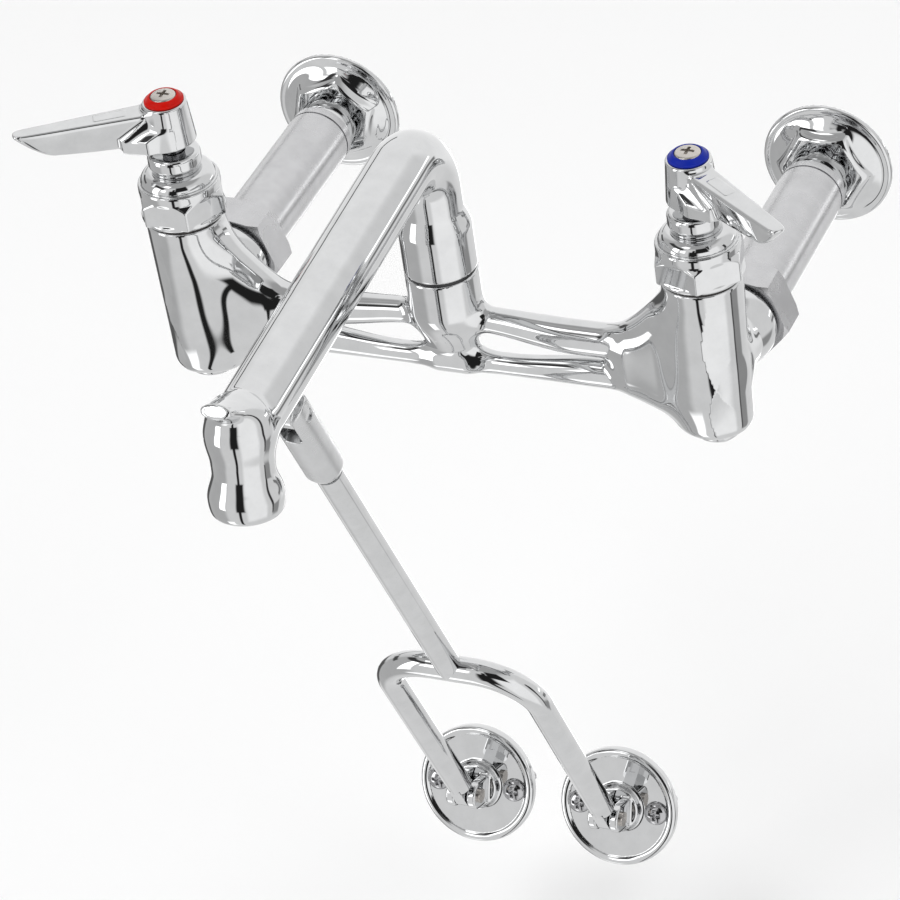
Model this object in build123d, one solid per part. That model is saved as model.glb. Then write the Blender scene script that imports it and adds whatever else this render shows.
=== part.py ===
"""Wall mounted sink faucet with two lever valves, a pail hook spout and a wall brace.

Millimetres. The origin lies on the wall plane, midway between the two inlets.
+X runs from the hot valve to the cold valve, -Y points out of the wall to the user, +Z is up.
Each piece is written to parts/NODE.step.
"""
from build123d import *
from math import cos, pi, radians, sin, sqrt
import os

HOT, COLD = -1, 1                 # side of each valve along X

# ---- overall layout
CENTRES = 203.2                   # between the two inlets, and the two valves
REACH = 134.0                     # wall to the valve and post axes
RUN = 0.05                        # radial clearance of a turning or sliding fit
GAP = 0.4                         # air between faces that must never touch

# ---- valve barrels of the body casting
BARREL_TOP, BARREL_BOTTOM = 38.2, -26.5
BARREL_TOP_R, BARREL_BOTTOM_R = 14.9, 13.3
BARREL_EDGE = 2.2                 # rounding of the lower rim
DRAIN_BOSS_R, DRAIN_BOSS_H = 8.2, 3.6
CHAMBER_R = 11.2
WEB_TOP, WEB_BOTTOM = 3.0, -2.0   # wall that holds the removable seat
SUMP_R, SUMP_FLOOR = 8.5, -20.0
DUCT_R, DUCT_DROP = 5.5, 7.0      # duct from the inlet to the sump

# ---- yoke between the barrels
UPPER_TUBE_R, UPPER_TUBE_Z = 4.9, 6.8
LOWER_TUBE_R, LOWER_TUBE_Z = 4.2, -12.3
WATERWAY_R = 3.2
FLARE_START, FLARE_MID = 40.0, 25.5   # distance of the flare sections from a valve axis
FLARE_END = 11.0
UPPER_FLARE = ((8.0, 6.8, 9.8), (15.5, 10.8, 18.5))      # (height, half depth, half height)
LOWER_FLARE = ((-12.6, 6.2, 7.6), (-14.5, 10.6, 12.0))

# ---- centre post and spout swivel
POST_R, POST_TOP = 13.7, 27.6
POST_FOOT = (10.5, 6.2)           # half widths of the post where it meets the lower tube
POST_BORE_R, POST_BORE_FLOOR = 8.6, 1.0
WASHER_T = 1.2
STEM_R, STEM_BORE_R, STEM_TOP = 9.6, 6.5, 50.0
O_RING_T, O_RING_LEVELS = 1.9, (34.0, 40.0)
SNAP_Z, SNAP_T, SNAP_R, SNAP_SPLIT = 46.0, 1.4, 10.7, 4.0

# ---- spout
SPOUT_R, SPOUT_BORE_R = 11.6, 8.2
SKIRT_TOP, SKIRT_SHOULDER = 46.0, 54.0
ARM_Z, ARM_DROP = 84.6, 4.6       # arm axis above the post axis, and its fall in degrees
BEND_R = 21.0
OUTLET_REACH = 164.5              # post axis to the outlet, on the arm's axis
OUTLET_TILT = 8.0                 # outlet axis off the vertical, in degrees
OUTLET_BOTTOM, OUTLET_BORE_R = 41.0, 8.3
BULB_R, BULB_Z = 13.2, 47.6
WAIST_R, WAIST_Z = 11.0, 57.0
CROWN_R, CROWN_Z = 12.5, 71.0
HOOK_W, HOOK_T, HOOK_LEN, HOOK_LIFT = 9.8, 7.2, 28.0, 30.0
HOOK_TIP = (12.5, 17.3)           # tip of the pail hook ahead of and above the outlet on the arm
LUG_T, LUG_R = 6.0, 5.6

# ---- valve stack
HEX_AF, HEX_BOTTOM, HEX_TOP = 30.2, 39.6, 51.4
HEX_TURN = {HOT: 0.0, COLD: -15.0}
HEX_CORNER_R, BEAD_R, BEAD_H = 16.6, 15.8, 1.8
SHOULDER_R, SHOULDER_TOP = 16.4, 54.6
DOME_R, DOME_TOP = 13.9, 58.8
BONNET_NECK_R, BONNET_NECK_TOP = 8.4, 64.2
BONNET_TAIL = 24.0
PACKING_NUT_R, PACKING_NUT_TOP, PACKING_NUT_SKIRT = 10.1, 66.4, 1.3
PACKING_R, PACKING_H = 6.4, 3.6
SPINDLE_R, SPINDLE_END, SPINDLE_TOP = 4.2, 22.0, 80.0
SPINDLE_COLLAR_R, SPINDLE_COLLAR_T, CAVITY_TOP = 7.1, 3.0, 48.0
PLUNGER_R, PLUNGER_BOTTOM, PLUNGER_TOP = 7.5, 8.5, 34.0
SEAT_WASHER_R, SEAT_WASHER_HOLE = 6.4, 1.8
SEAT_R, SEAT_BORE_R, SEAT_LIP_R, SEAT_TOP = 7.5, 4.5, 6.0, 4.6
WASHER_SCREW_HEAD_R, WASHER_SCREW_HEAD_H, WASHER_SCREW_LEN = 3.2, 1.6, 9.0

# ---- lever handles
LEVER_ANGLE = {HOT: 211.0, COLD: -37.0}   # direction of the lever tip, from +X
LEVER_BOTTOM, LEVER_TOP = 70.6, 87.4
HUB_TOP_R, HUB_BOTTOM_R = 8.3, 9.5
SKIRT_HALF, SKIRT_NOSE, SKIRT_H = 8.8, 9.4, 5.6
SKIRT_TIP = (17.7, 4.3)           # where the skirt's slanted sides run into the blade
BLADE_LEN, BLADE_TOP = 57.0, 85.2
BLADE_ROOT_HALF, BLADE_TIP_HALF = 4.9, 2.7
BLADE_HEEL_Z, BLADE_BELLY_X, BLADE_BELLY_Z = 70.9, 41.0, 73.4
PAD_X, PAD_L, PAD_W, PAD_H = 20.0, 11.0, 5.4, 0.35
LEVER_SCREW_R, SCREW_HEAD_R, SCREW_HEAD_H = 2.0, 4.9, 2.5
INDEX_R, INDEX_TOP_R, INDEX_H = 7.4, 5.5, 2.3

# ---- supplies and wall flanges
SUPPLY_R, SUPPLY_BORE_R = 12.7, 9.4
SUPPLY_START = 19.0               # distance from the wall
SUPPLY_END = REACH - 38.0
SUPPLY_RING_L, SUPPLY_GROOVE_W, SUPPLY_GROOVE_D = 3.4, 0.9, 0.6
UNION_COLLAR_R, UNION_COLLAR_T = 13.9, 2.0
UNION_WASHER_T = 1.5
NUT_AF, NUT_LEN, NUT_TURN = 34.0, 14.0, -11.0
NUT_START = SUPPLY_END - 3.5
NIPPLE_R, NIPPLE_BORE_R = 14.0, 9.0
INLET_SHOULDER_R, INLET_SHOULDER_AT = 16.2, REACH - 26.4
FLANGE_R, FLANGE_RIM_T, FLANGE_DISH = 25.4, 2.4, 5.6
FLANGE_HEX_AF, FLANGE_HEX_TOP = 31.4, 9.8
FLANGE_HEX_TURN = {HOT: 19.0, COLD: -1.0}
POCKET_AF, POCKET_FLOOR = 27.2, 4.6
FLANGE_NECK_R = 11.9
PIPE_THREAD_R, PIPE_THREAD_DEPTH = 10.3, 15.0   # 1/2 inch taper pipe thread, female
SPIGOT_R, SPIGOT_L, SPIGOT_BORE_R = 10.9, 8.0, 8.0

# ---- wall brace
BRACE_ANGLE = 64.5                # rod below the horizontal
PIN_SETBACK, PIN_Z = 128.4, 53.6  # brace pin ahead of the post axis, and its height
PIN_R = 2.4
CLEVIS_R, CLEVIS_LEN, SLOT_W, SLOT_DEPTH = 7.25, 40.5, 6.8, 9.0
CLEVIS_MOUTH = 3.2                # length of the tapered lower end
ROD_R, ROD_ENTRY = 5.15, 12.0
ROD_NECK_D, ROD_NECK_W = 0.7, 1.6
CROSSBAR_AT = 198.5               # pin to crossbar axis
LEG_AT = 322.9                    # pin to bracket pivots
FORK_R, FORK_HALF, FORK_BEND = 5.1, 30.4, 22.0
TONGUE_L, TONGUE_T, TONGUE_R = 9.0, 4.8, 4.9

# ---- wall brackets
BRACKET_TILT = 21.4               # face of a bracket above the horizontal
BRACKET_R, BRACKET_T, BRACKET_FACE_R = 24.4, 5.4, 22.2
BRACKET_STEP = 0.7
PIVOT_H = 16.6                    # back of the bracket to its pivot
BOSS_R, BOSS_H = 10.0, 3.0
EAR_T, EAR_GAP, EAR_R = 3.6, 5.4, 5.6
BRACKET_PIN_R = 2.0
SCREW_SPACING = 32.4
WALL_SCREW_R, WALL_SCREW_HEAD_R, WALL_SCREW_HEAD_H, WALL_SCREW_OUT = 2.4, 4.75, 3.0, 14.0
CROSS_W, CROSS_L, CROSS_D = 1.1, 4.6, 1.6


# ---------------------------------------------------------------- helpers
def disc(radius, low, high):
    """Solid cylinder on the Z axis between two heights."""
    return Pos(0, 0, (low + high) / 2) * Cylinder(radius, high - low)


def ring(outer, inner, low, high):
    """Annular cylinder on the Z axis between two heights."""
    return disc(outer, low, high) - disc(inner, low - 1, high + 1)


def taper(low_r, high_r, low, high):
    """Cone frustum on the Z axis between two heights."""
    return Pos(0, 0, (low + high) / 2) * Cone(low_r, high_r, high - low)


def hexagon(across_flats, low, high, turn=0.0):
    """Hexagonal prism on the Z axis, turned about it."""
    outline = Rot(0, 0, turn) * RegularPolygon(across_flats / sqrt(3), 6)
    return Pos(0, 0, low) * extrude(outline, high - low)


def turned(*profile):
    """Solid of revolution about Z from (radius, height) points."""
    face = make_face(Polyline(*[(r, 0, z) for r, z in profile], close=True))
    return revolve(face, Axis.Z)


def cross_recess(top, width=CROSS_W, length=CROSS_L, depth=CROSS_D):
    """Phillips recess cut down from a height."""
    bar = Pos(0, 0, top - depth / 2) * Box(length, width, depth)
    return bar + Rot(0, 0, 90) * bar


def at_valve(side, shape):
    """Place a shape built on the Z axis on a valve axis."""
    return Pos(side * CENTRES / 2, -REACH, 0) * shape


def at_inlet(side, shape):
    """Place a shape whose +Z leads away from the wall on an inlet axis."""
    return Pos(side * CENTRES / 2, 0, 0) * Rot(90, 0, 0) * shape


def on_brace(shape):
    """Place a shape whose +Z runs down the brace from its pin; +Y is the user's side."""
    return Pos(0, -REACH - PIN_SETBACK, PIN_Z) * Rot(-(90 + BRACE_ANGLE), 0, 0) * shape


def on_bracket(side, shape):
    """Place a shape built about a bracket pivot, +Z out of the bracket's face."""
    out = LEG_AT
    y = -REACH - PIN_SETBACK + out * cos(radians(BRACE_ANGLE))
    z = PIN_Z - out * sin(radians(BRACE_ANGLE))
    return Pos(side * FORK_HALF, y, z) * Rot(90 - BRACKET_TILT, 0, 0) * shape


def cross_pin(radius, half_length):
    """Cylinder along X through the origin."""
    return Rot(0, 90, 0) * Cylinder(radius, 2 * half_length)


def write(name, shape):
    """Write one node's STEP file."""
    shape.label = name
    export_step(shape, f"parts/{name}.step")


# ---------------------------------------------------------------- body casting
def section(x, z, half_y, half_z):
    """Elliptic section of the yoke, square to X."""
    plane = Plane(origin=(x, -REACH, z), x_dir=(0, 1, 0), z_dir=(1, 0, 0))
    return plane * Ellipse(half_y, half_z)


def flare(side, tube_r, tube_z, mid, end):
    """Horn that joins a yoke tube to a valve barrel; mid and end are (z, half_y, half_z)."""
    valve = CENTRES / 2
    sections = [
        section(side * (valve - FLARE_START), tube_z, tube_r, tube_r),
        section(side * (valve - FLARE_MID), *mid),
        section(side * (valve - FLARE_END), *end),
    ]
    return loft(sections)


def barrel(side):
    """Valve barrel with its lower boss and the inlet nipple behind it."""
    body = taper(BARREL_BOTTOM_R, BARREL_TOP_R, BARREL_BOTTOM, BARREL_TOP)
    body = fillet(body.edges().sort_by(Axis.Z)[0], BARREL_EDGE)
    body += disc(DRAIN_BOSS_R, BARREL_BOTTOM - DRAIN_BOSS_H, BARREL_BOTTOM + 1)
    horn_len = REACH - INLET_SHOULDER_AT
    horn = taper(INLET_SHOULDER_R, BARREL_BOTTOM_R - 1.5, INLET_SHOULDER_AT, REACH)
    nipple = disc(NIPPLE_R, SUPPLY_END + UNION_WASHER_T, INLET_SHOULDER_AT + horn_len / 4)
    return at_valve(side, body) + at_inlet(side, horn + nipple)


def barrel_cuts(side):
    """Chamber, seat hole, sump and inlet duct of one barrel."""
    cuts = disc(CHAMBER_R, WEB_TOP, BARREL_TOP + 1)
    cuts += disc(SEAT_R, WEB_BOTTOM - 0.5, WEB_TOP + 0.5)
    cuts += disc(SUMP_R, SUMP_FLOOR, WEB_BOTTOM)
    inlet = disc(NIPPLE_BORE_R, SUPPLY_END, REACH - CHAMBER_R - 5)
    duct = Pos(0, -DUCT_DROP, 0) * disc(DUCT_R, REACH - CHAMBER_R - 8, REACH)
    return at_valve(side, cuts) + at_inlet(side, inlet + duct)


def post():
    """Centre post that carries the spout, drawn in to the lower tube."""
    foot = Plane.XY.offset(LOWER_TUBE_Z) * Ellipse(*POST_FOOT)
    neck = Plane.XY.offset(UPPER_TUBE_Z) * Circle(POST_R)
    column = loft([foot, neck]) + disc(POST_R, UPPER_TUBE_Z, POST_TOP)
    return Pos(0, -REACH, 0) * column


def yoke_tube(radius, z, half_length):
    """Round tube of the yoke, along X."""
    return Pos(0, -REACH, z) * Rot(0, 90, 0) * Cylinder(radius, 2 * half_length)


def body_casting():
    """One casting: two barrels, a double tube yoke and the centre post."""
    half = CENTRES / 2 - FLARE_START
    body = post()
    body += yoke_tube(UPPER_TUBE_R, UPPER_TUBE_Z, half)
    body += yoke_tube(LOWER_TUBE_R, LOWER_TUBE_Z, half)
    for side in (HOT, COLD):
        body += flare(side, UPPER_TUBE_R, UPPER_TUBE_Z, *UPPER_FLARE)
        body += flare(side, LOWER_TUBE_R, LOWER_TUBE_Z, *LOWER_FLARE)
        body += barrel(side)
    for side in (HOT, COLD):
        body -= barrel_cuts(side)
    body -= yoke_tube(WATERWAY_R, UPPER_TUBE_Z, CENTRES / 2 - CHAMBER_R + 3)
    body -= Pos(0, -REACH, 0) * disc(POST_BORE_R, POST_BORE_FLOOR, POST_TOP + 1)
    return body


# ---------------------------------------------------------------- spout and swivel
def spout_bore_r():
    """Radius of the spout's socket over the swivel stem."""
    return STEM_R + 2 * RUN


def swivel_stem():
    """Hollow brass stem screwed into the post, grooved for two O-rings and a snap ring."""
    stem = disc(POST_BORE_R, POST_TOP - 16, POST_TOP) + disc(STEM_R, POST_TOP, STEM_TOP)
    stem -= disc(STEM_BORE_R, 0, STEM_TOP + 1)
    for level in O_RING_LEVELS:
        stem -= ring(STEM_R + 1, STEM_R - O_RING_T, level - O_RING_T / 2, level + O_RING_T / 2)
    stem -= ring(STEM_R + 1, STEM_R - SNAP_T, SNAP_Z - SNAP_T / 2, SNAP_Z + SNAP_T / 2)
    return Pos(0, -REACH, 0) * stem


def spout_o_rings():
    """Two O-rings seated in the stem's grooves."""
    minor = O_RING_T / 2
    major = spout_bore_r() - RUN - minor
    return [Pos(0, -REACH, level) * Torus(major, minor) for level in O_RING_LEVELS]


def snap_ring():
    """Split ring that keeps the spout on its stem."""
    hoop = ring(SNAP_R, STEM_R - SNAP_T, SNAP_Z - SNAP_T / 2, SNAP_Z + SNAP_T / 2)
    return Pos(0, -REACH, 0) * (hoop - Pos(SNAP_R, 0, SNAP_Z) * Box(SNAP_R, SNAP_SPLIT, 9))


def spout_washer():
    """Black wear washer in the groove between post and spout."""
    return Pos(0, -REACH, 0) * ring(POST_R - 0.7, STEM_R + GAP, POST_TOP, POST_TOP + WASHER_T)


def arm_height(out):
    """Height of the arm's axis at a distance in front of the post axis."""
    return ARM_Z - out * sin(radians(ARM_DROP)) / cos(radians(ARM_DROP))


def arm_path(start, end_out):
    """Centreline of the spout: up from the post, over the bend and out along the arm."""
    points = [(0, 0, start), (0, 0, ARM_Z), (0, -end_out, arm_height(end_out))]
    return FilletPolyline(*points, radius=BEND_R)


def pipe(radius, start, end_out):
    """Round bar swept along the spout's centreline."""
    path = arm_path(start, end_out)
    return sweep(Plane(origin=(0, 0, start)) * Circle(radius), path=path)


def at_outlet(shape):
    """Place a shape built on the Z axis on the tilted outlet axis."""
    level = arm_height(OUTLET_REACH)
    return Pos(0, -OUTLET_REACH, level) * Rot(-OUTLET_TILT, 0, 0) * Pos(0, 0, -level) * shape


def nozzle():
    """Outlet turned like a hose bulb, under a domed crown."""
    crown = arm_height(OUTLET_REACH) + CROWN_R
    lip_r = OUTLET_BORE_R + 2.2
    wall = Spline((CROWN_R, 0, CROWN_Z), (WAIST_R, 0, WAIST_Z), (BULB_R, 0, BULB_Z),
                  (lip_r, 0, OUTLET_BOTTOM), tangents=[(0, 0, -1), (-1, 0, -0.35)])
    axis = Polyline((lip_r, 0, OUTLET_BOTTOM), (0, 0, OUTLET_BOTTOM), (0, 0, crown))
    cap = Spline((0, 0, crown), (CROWN_R, 0, CROWN_Z), tangents=[(1, 0, 0), (0, 0, -1)])
    return at_outlet(revolve(make_face([wall, axis, cap]), Axis.Z))


def pail_hook():
    """Tongue that rises forward from the top of the outlet, for the bail of a pail."""
    tongue = Pos(0, HOOK_LEN / 2, 0) * Box(HOOK_W, HOOK_LEN, HOOK_T)
    tongue = fillet(tongue.edges().filter_by(Axis.Y), HOOK_T / 2 - 0.4)
    ahead, above = HOOK_TIP
    tip = Pos(0, -OUTLET_REACH - ahead, arm_height(OUTLET_REACH) + above)
    return tip * Rot(-HOOK_LIFT, 0, 0) * tongue


def brace_lug():
    """Flat lug under the arm that carries the brace pin."""
    top = arm_height(PIN_SETBACK)
    plate = Pos(0, 0, (top - PIN_Z) / 2) * Box(LUG_T, 2 * LUG_R, top - PIN_Z)
    plate += Rot(0, 90, 0) * Cylinder(LUG_R, LUG_T)
    plate -= cross_pin(PIN_R + RUN, LUG_T)
    return Pos(0, -PIN_SETBACK, PIN_Z) * plate


def spout():
    """Cast spout: skirt over the stem, bend, arm, outlet, pail hook and brace lug."""
    skirt_bottom = POST_TOP + WASHER_T
    body = pipe(SPOUT_R, SKIRT_TOP, OUTLET_REACH) + nozzle() + brace_lug() + pail_hook()
    body += disc(POST_R, skirt_bottom, SKIRT_TOP)
    body += taper(POST_R, SPOUT_R, SKIRT_TOP, SKIRT_SHOULDER)
    body -= pipe(SPOUT_BORE_R, SKIRT_TOP, OUTLET_REACH)
    outlet_top = arm_height(OUTLET_REACH)
    body -= at_outlet(disc(OUTLET_BORE_R, OUTLET_BOTTOM - 1, outlet_top))
    body -= Pos(0, -OUTLET_REACH, outlet_top) * Sphere(SPOUT_BORE_R)
    body -= disc(spout_bore_r(), skirt_bottom - 1, STEM_TOP + GAP)
    body -= ring(SNAP_R + GAP, 1.0, SNAP_Z - SNAP_T / 2 - GAP, SNAP_Z + SNAP_T / 2 + GAP)
    return Pos(0, -REACH, 0) * body


# ---------------------------------------------------------------- valve stack
def bonnet(side):
    """Bonnet turned with a bead, a shoulder and a polished dome, six flats milled in its body."""
    hex_part = hexagon(HEX_AF, HEX_BOTTOM, HEX_TOP + 1.2, HEX_TURN[side])
    hex_part = hex_part & turned((0, HEX_BOTTOM), (HEX_CORNER_R, HEX_BOTTOM), (HEX_CORNER_R, HEX_TOP - 2.0),
                                 (HEX_AF / 2 - 0.6, HEX_TOP + 1.2), (0, HEX_TOP + 1.2))
    bead = disc(BEAD_R, HEX_BOTTOM, HEX_BOTTOM + BEAD_H)
    shoulder = disc(SHOULDER_R, HEX_TOP, SHOULDER_TOP)
    shoulder = fillet(shoulder.edges(), 1.3)
    base = SHOULDER_TOP - 0.9
    dome = turned((0, base - 2), (DOME_R, base - 2), (DOME_R, base), (DOME_R - 0.9, base + 2.1),
                  (DOME_R - 2.4, base + 3.7), (PACKING_NUT_R + 0.2, DOME_TOP), (0, DOME_TOP))
    shoulder -= ring(SHOULDER_R - 0.8, DOME_R, base, SHOULDER_TOP + 1)
    body = hex_part + bead + shoulder + dome
    body += disc(BONNET_NECK_R, DOME_TOP, BONNET_NECK_TOP)
    body += disc(CHAMBER_R, BONNET_TAIL, HEX_BOTTOM)
    body -= disc(PLUNGER_R + RUN, BONNET_TAIL - 1, CAVITY_TOP)
    body -= disc(SPINDLE_R + RUN, CAVITY_TOP - 1, BONNET_NECK_TOP + 1)
    return body - disc(PACKING_R, BONNET_NECK_TOP - PACKING_H, BONNET_NECK_TOP + 1)


def bonnet_gasket():
    """Flat ring between bonnet and barrel."""
    return ring(BARREL_TOP_R - 0.7, CHAMBER_R, BARREL_TOP, HEX_BOTTOM)


def packing_nut():
    """Round nut that presses the packing, undercut at its foot."""
    nut = disc(PACKING_NUT_R, DOME_TOP, PACKING_NUT_TOP)
    nut = chamfer(nut.edges().sort_by(Axis.Z)[-1], 1.0)
    nut -= ring(PACKING_NUT_R + 1, PACKING_NUT_R - 0.9, DOME_TOP - 1, DOME_TOP + PACKING_NUT_SKIRT)
    nut -= disc(BONNET_NECK_R, DOME_TOP - 1, BONNET_NECK_TOP)
    return nut - disc(SPINDLE_R + GAP, 0, PACKING_NUT_TOP + 1)


def packing():
    """Packing ring round the spindle."""
    return ring(PACKING_R, SPINDLE_R + RUN, BONNET_NECK_TOP - PACKING_H, BONNET_NECK_TOP)


def spindle():
    """Turning spindle with its thrust collar and the tapped end for the lever screw."""
    collar_top = CAVITY_TOP - GAP
    stem = disc(SPINDLE_R, SPINDLE_END, SPINDLE_TOP)
    stem += disc(SPINDLE_COLLAR_R, collar_top - SPINDLE_COLLAR_T, collar_top)
    return stem - disc(LEVER_SCREW_R, SPINDLE_TOP - 9, SPINDLE_TOP + 1)


def plunger():
    """Sliding plunger that the spindle's thread lifts off the seat."""
    body = disc(PLUNGER_R, PLUNGER_BOTTOM, PLUNGER_TOP)
    body -= disc(SPINDLE_R + RUN, SPINDLE_END - 2, PLUNGER_TOP + 1)
    return body - disc(SEAT_WASHER_HOLE, PLUNGER_BOTTOM - 1, PLUNGER_BOTTOM + 7)


def seat_washer():
    """Rubber washer that closes on the seat."""
    return ring(SEAT_WASHER_R, SEAT_WASHER_HOLE, SEAT_TOP, PLUNGER_BOTTOM)


def washer_screw():
    """Screw that holds the seat washer on the plunger."""
    head = disc(WASHER_SCREW_HEAD_R, SEAT_TOP - WASHER_SCREW_HEAD_H, SEAT_TOP)
    head -= Pos(0, 0, SEAT_TOP - WASHER_SCREW_HEAD_H) * Box(8, 0.9, 1.4)
    return head + disc(SEAT_WASHER_HOLE, SEAT_TOP, SEAT_TOP + WASHER_SCREW_LEN)


def valve_seat():
    """Removable brass seat in the web of the barrel."""
    seat = disc(SEAT_R, WEB_BOTTOM, WEB_TOP) + disc(SEAT_LIP_R, WEB_TOP, SEAT_TOP)
    return seat - disc(SEAT_BORE_R, WEB_BOTTOM - 1, SEAT_TOP + 1)


# ---------------------------------------------------------------- lever handle
def lever_blade():
    """Deep blade with a flat top, a straight heel and a belly that curves up to the tip."""
    plan = make_face(Polyline(
        (0, BLADE_ROOT_HALF), (BLADE_LEN - BLADE_TIP_HALF, BLADE_TIP_HALF),
        (BLADE_LEN, BLADE_TIP_HALF * 0.45), (BLADE_LEN, -BLADE_TIP_HALF * 0.45),
        (BLADE_LEN - BLADE_TIP_HALF, -BLADE_TIP_HALF), (0, -BLADE_ROOT_HALF), close=True))
    outline = extrude(Plane.XY.offset(LEVER_BOTTOM) * plan, BLADE_TOP - LEVER_BOTTOM)
    belly = Spline((BLADE_BELLY_X, 0, BLADE_BELLY_Z), (BLADE_LEN - 4, 0, BLADE_TOP - 6.5),
                   (BLADE_LEN, 0, BLADE_TOP - 2.0), tangents=[(1, 0, 0.12), (0.35, 0, 1)])
    rest = Polyline((BLADE_LEN, 0, BLADE_TOP - 2.0), (BLADE_LEN, 0, BLADE_TOP), (0, 0, BLADE_TOP),
                    (0, 0, BLADE_HEEL_Z), (BLADE_BELLY_X, 0, BLADE_BELLY_Z))
    side = extrude(make_face([belly, rest]), BLADE_ROOT_HALF + 1, both=True)
    pad = Pos(PAD_X, 0, BLADE_TOP) * Box(PAD_L, PAD_W, 2 * PAD_H)
    return (outline & side) + pad


def lever_skirt():
    """Flat sided skirt of the hub, drawn to the blade's flanks, with a coned top."""
    tip_x, tip_half = SKIRT_TIP
    outline = make_face(Polyline(
        (0, SKIRT_HALF), (SKIRT_NOSE, SKIRT_HALF), (tip_x, tip_half), (tip_x, -tip_half),
        (SKIRT_NOSE, -SKIRT_HALF), (0, -SKIRT_HALF), close=True))
    prism = extrude(Plane.XY.offset(LEVER_BOTTOM) * outline, SKIRT_H + 4)
    reach = sqrt(SKIRT_NOSE ** 2 + SKIRT_HALF ** 2)
    shelf = LEVER_BOTTOM + SKIRT_H
    cone = turned((0, LEVER_BOTTOM), (tip_x + 2, LEVER_BOTTOM), (tip_x + 2, shelf - 1.5),
                  (reach, shelf), (HUB_TOP_R, shelf + 3.0), (0, shelf + 3.0))
    return prism & cone


def lever(side):
    """Lever handle: tapered hub, skirt and blade, bored for the spindle and its screw."""
    hub = taper(HUB_BOTTOM_R, HUB_TOP_R, LEVER_BOTTOM, LEVER_TOP)
    hub = fillet(hub.edges().sort_by(Axis.Z)[-1], 0.8)
    handle = hub + lever_skirt() + lever_blade()
    handle -= disc(SPINDLE_R, LEVER_BOTTOM - 1, SPINDLE_TOP)
    handle -= disc(LEVER_SCREW_R, SPINDLE_TOP - 1, LEVER_TOP + 2)
    return Rot(0, 0, LEVER_ANGLE[side]) * handle


def index_ring():
    """Bevelled colour ring under the head of the lever screw."""
    body = taper(INDEX_R, INDEX_TOP_R, LEVER_TOP + 0.7, LEVER_TOP + INDEX_H)
    body += disc(INDEX_R, LEVER_TOP, LEVER_TOP + 0.7)
    return body - disc(SCREW_HEAD_R, LEVER_TOP + 0.6, LEVER_TOP + 9) - disc(LEVER_SCREW_R, 0, LEVER_TOP + 9)


def lever_screw():
    """Phillips screw that clamps the lever on the spindle."""
    bottom = LEVER_TOP + 0.6
    head = disc(SCREW_HEAD_R, bottom, bottom + SCREW_HEAD_H)
    head = fillet(head.edges().sort_by(Axis.Z)[-1], 0.7)
    head -= cross_recess(bottom + SCREW_HEAD_H)
    return head + disc(LEVER_SCREW_R, SPINDLE_TOP - 8, bottom)


# ---------------------------------------------------------------- supplies
def wall_flange(side):
    """Round flange with a hex, a hex pocket and a neck bored for the wall pipe."""
    dish = turned((0, 0), (FLANGE_R - 1.0, 0), (FLANGE_R, 1.0), (FLANGE_R, FLANGE_RIM_T - 1),
                  (FLANGE_R - 1.0, FLANGE_RIM_T), (FLANGE_R - 3.4, FLANGE_RIM_T + 0.2),
                  (FLANGE_R - 6.4, FLANGE_RIM_T + 1.3), (FLANGE_R - 8.4, FLANGE_DISH), (0, FLANGE_DISH))
    turn = FLANGE_HEX_TURN[side]
    flange = dish + hexagon(FLANGE_HEX_AF, 1.0, FLANGE_HEX_TOP, turn)
    flange -= hexagon(POCKET_AF, POCKET_FLOOR, FLANGE_HEX_TOP + 1, turn)
    flange += disc(FLANGE_NECK_R, 1.0, SUPPLY_START) + disc(SPIGOT_R, 1.0, SUPPLY_START + SPIGOT_L)
    flange -= disc(PIPE_THREAD_R, -1, PIPE_THREAD_DEPTH)
    return flange - disc(SPIGOT_BORE_R, 0, SUPPLY_START + SPIGOT_L + 1)


def supply_tube():
    """Straight supply with a ring at the wall end and a collar in the coupling nut."""
    tube = disc(SUPPLY_R, SUPPLY_START, SUPPLY_END - UNION_COLLAR_T)
    tube += disc(UNION_COLLAR_R, SUPPLY_END - UNION_COLLAR_T, SUPPLY_END)
    groove = SUPPLY_START + SUPPLY_RING_L
    tube -= ring(SUPPLY_R + 1, SUPPLY_R - SUPPLY_GROOVE_D, groove, groove + SUPPLY_GROOVE_W)
    tube -= disc(SPIGOT_R, SUPPLY_START - 1, SUPPLY_START + SPIGOT_L)
    return tube - disc(SUPPLY_BORE_R, SUPPLY_START, SUPPLY_END + 1)


def coupling_washer():
    """Fibre washer between the supply and the body's nipple."""
    return ring(UNION_COLLAR_R - 0.4, SUPPLY_BORE_R, SUPPLY_END, SUPPLY_END + UNION_WASHER_T)


def coupling_nut():
    """Hex nut that draws the supply onto the body's nipple."""
    nut = hexagon(NUT_AF, NUT_START, NUT_START + NUT_LEN, NUT_TURN)
    corner = NUT_AF / sqrt(3)
    end = NUT_START + NUT_LEN
    nut = nut & turned((0, NUT_START), (corner - 1.6, NUT_START), (corner + 0.5, NUT_START + 1.6),
                       (corner + 0.5, end - 1.6), (corner - 1.6, end), (0, end))
    nut -= disc(NIPPLE_R, SUPPLY_END - UNION_COLLAR_T, end + 1)
    return nut - disc(SUPPLY_R, NUT_START - 1, SUPPLY_END)


# ---------------------------------------------------------------- wall brace
def brace_clevis():
    """Round socket with a slotted, rounded end over the spout's lug."""
    end = CLEVIS_LEN
    body = disc(CLEVIS_R, 0, end - CLEVIS_MOUTH) + taper(CLEVIS_R, ROD_R + 0.9, end - CLEVIS_MOUTH, end)
    body += cross_pin(CLEVIS_R, CLEVIS_R) & disc(CLEVIS_R, -CLEVIS_R, CLEVIS_R)
    body -= Pos(0, 0, SLOT_DEPTH - 20) * Box(SLOT_W, 40, 40)
    body -= cross_pin(PIN_R, 20)
    return body - disc(ROD_R, end - ROD_ENTRY, end + 1)


def brace_pin():
    """Pin through the clevis and the lug, flush with the clevis."""
    return cross_pin(PIN_R, CLEVIS_R - 0.9)


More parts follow.
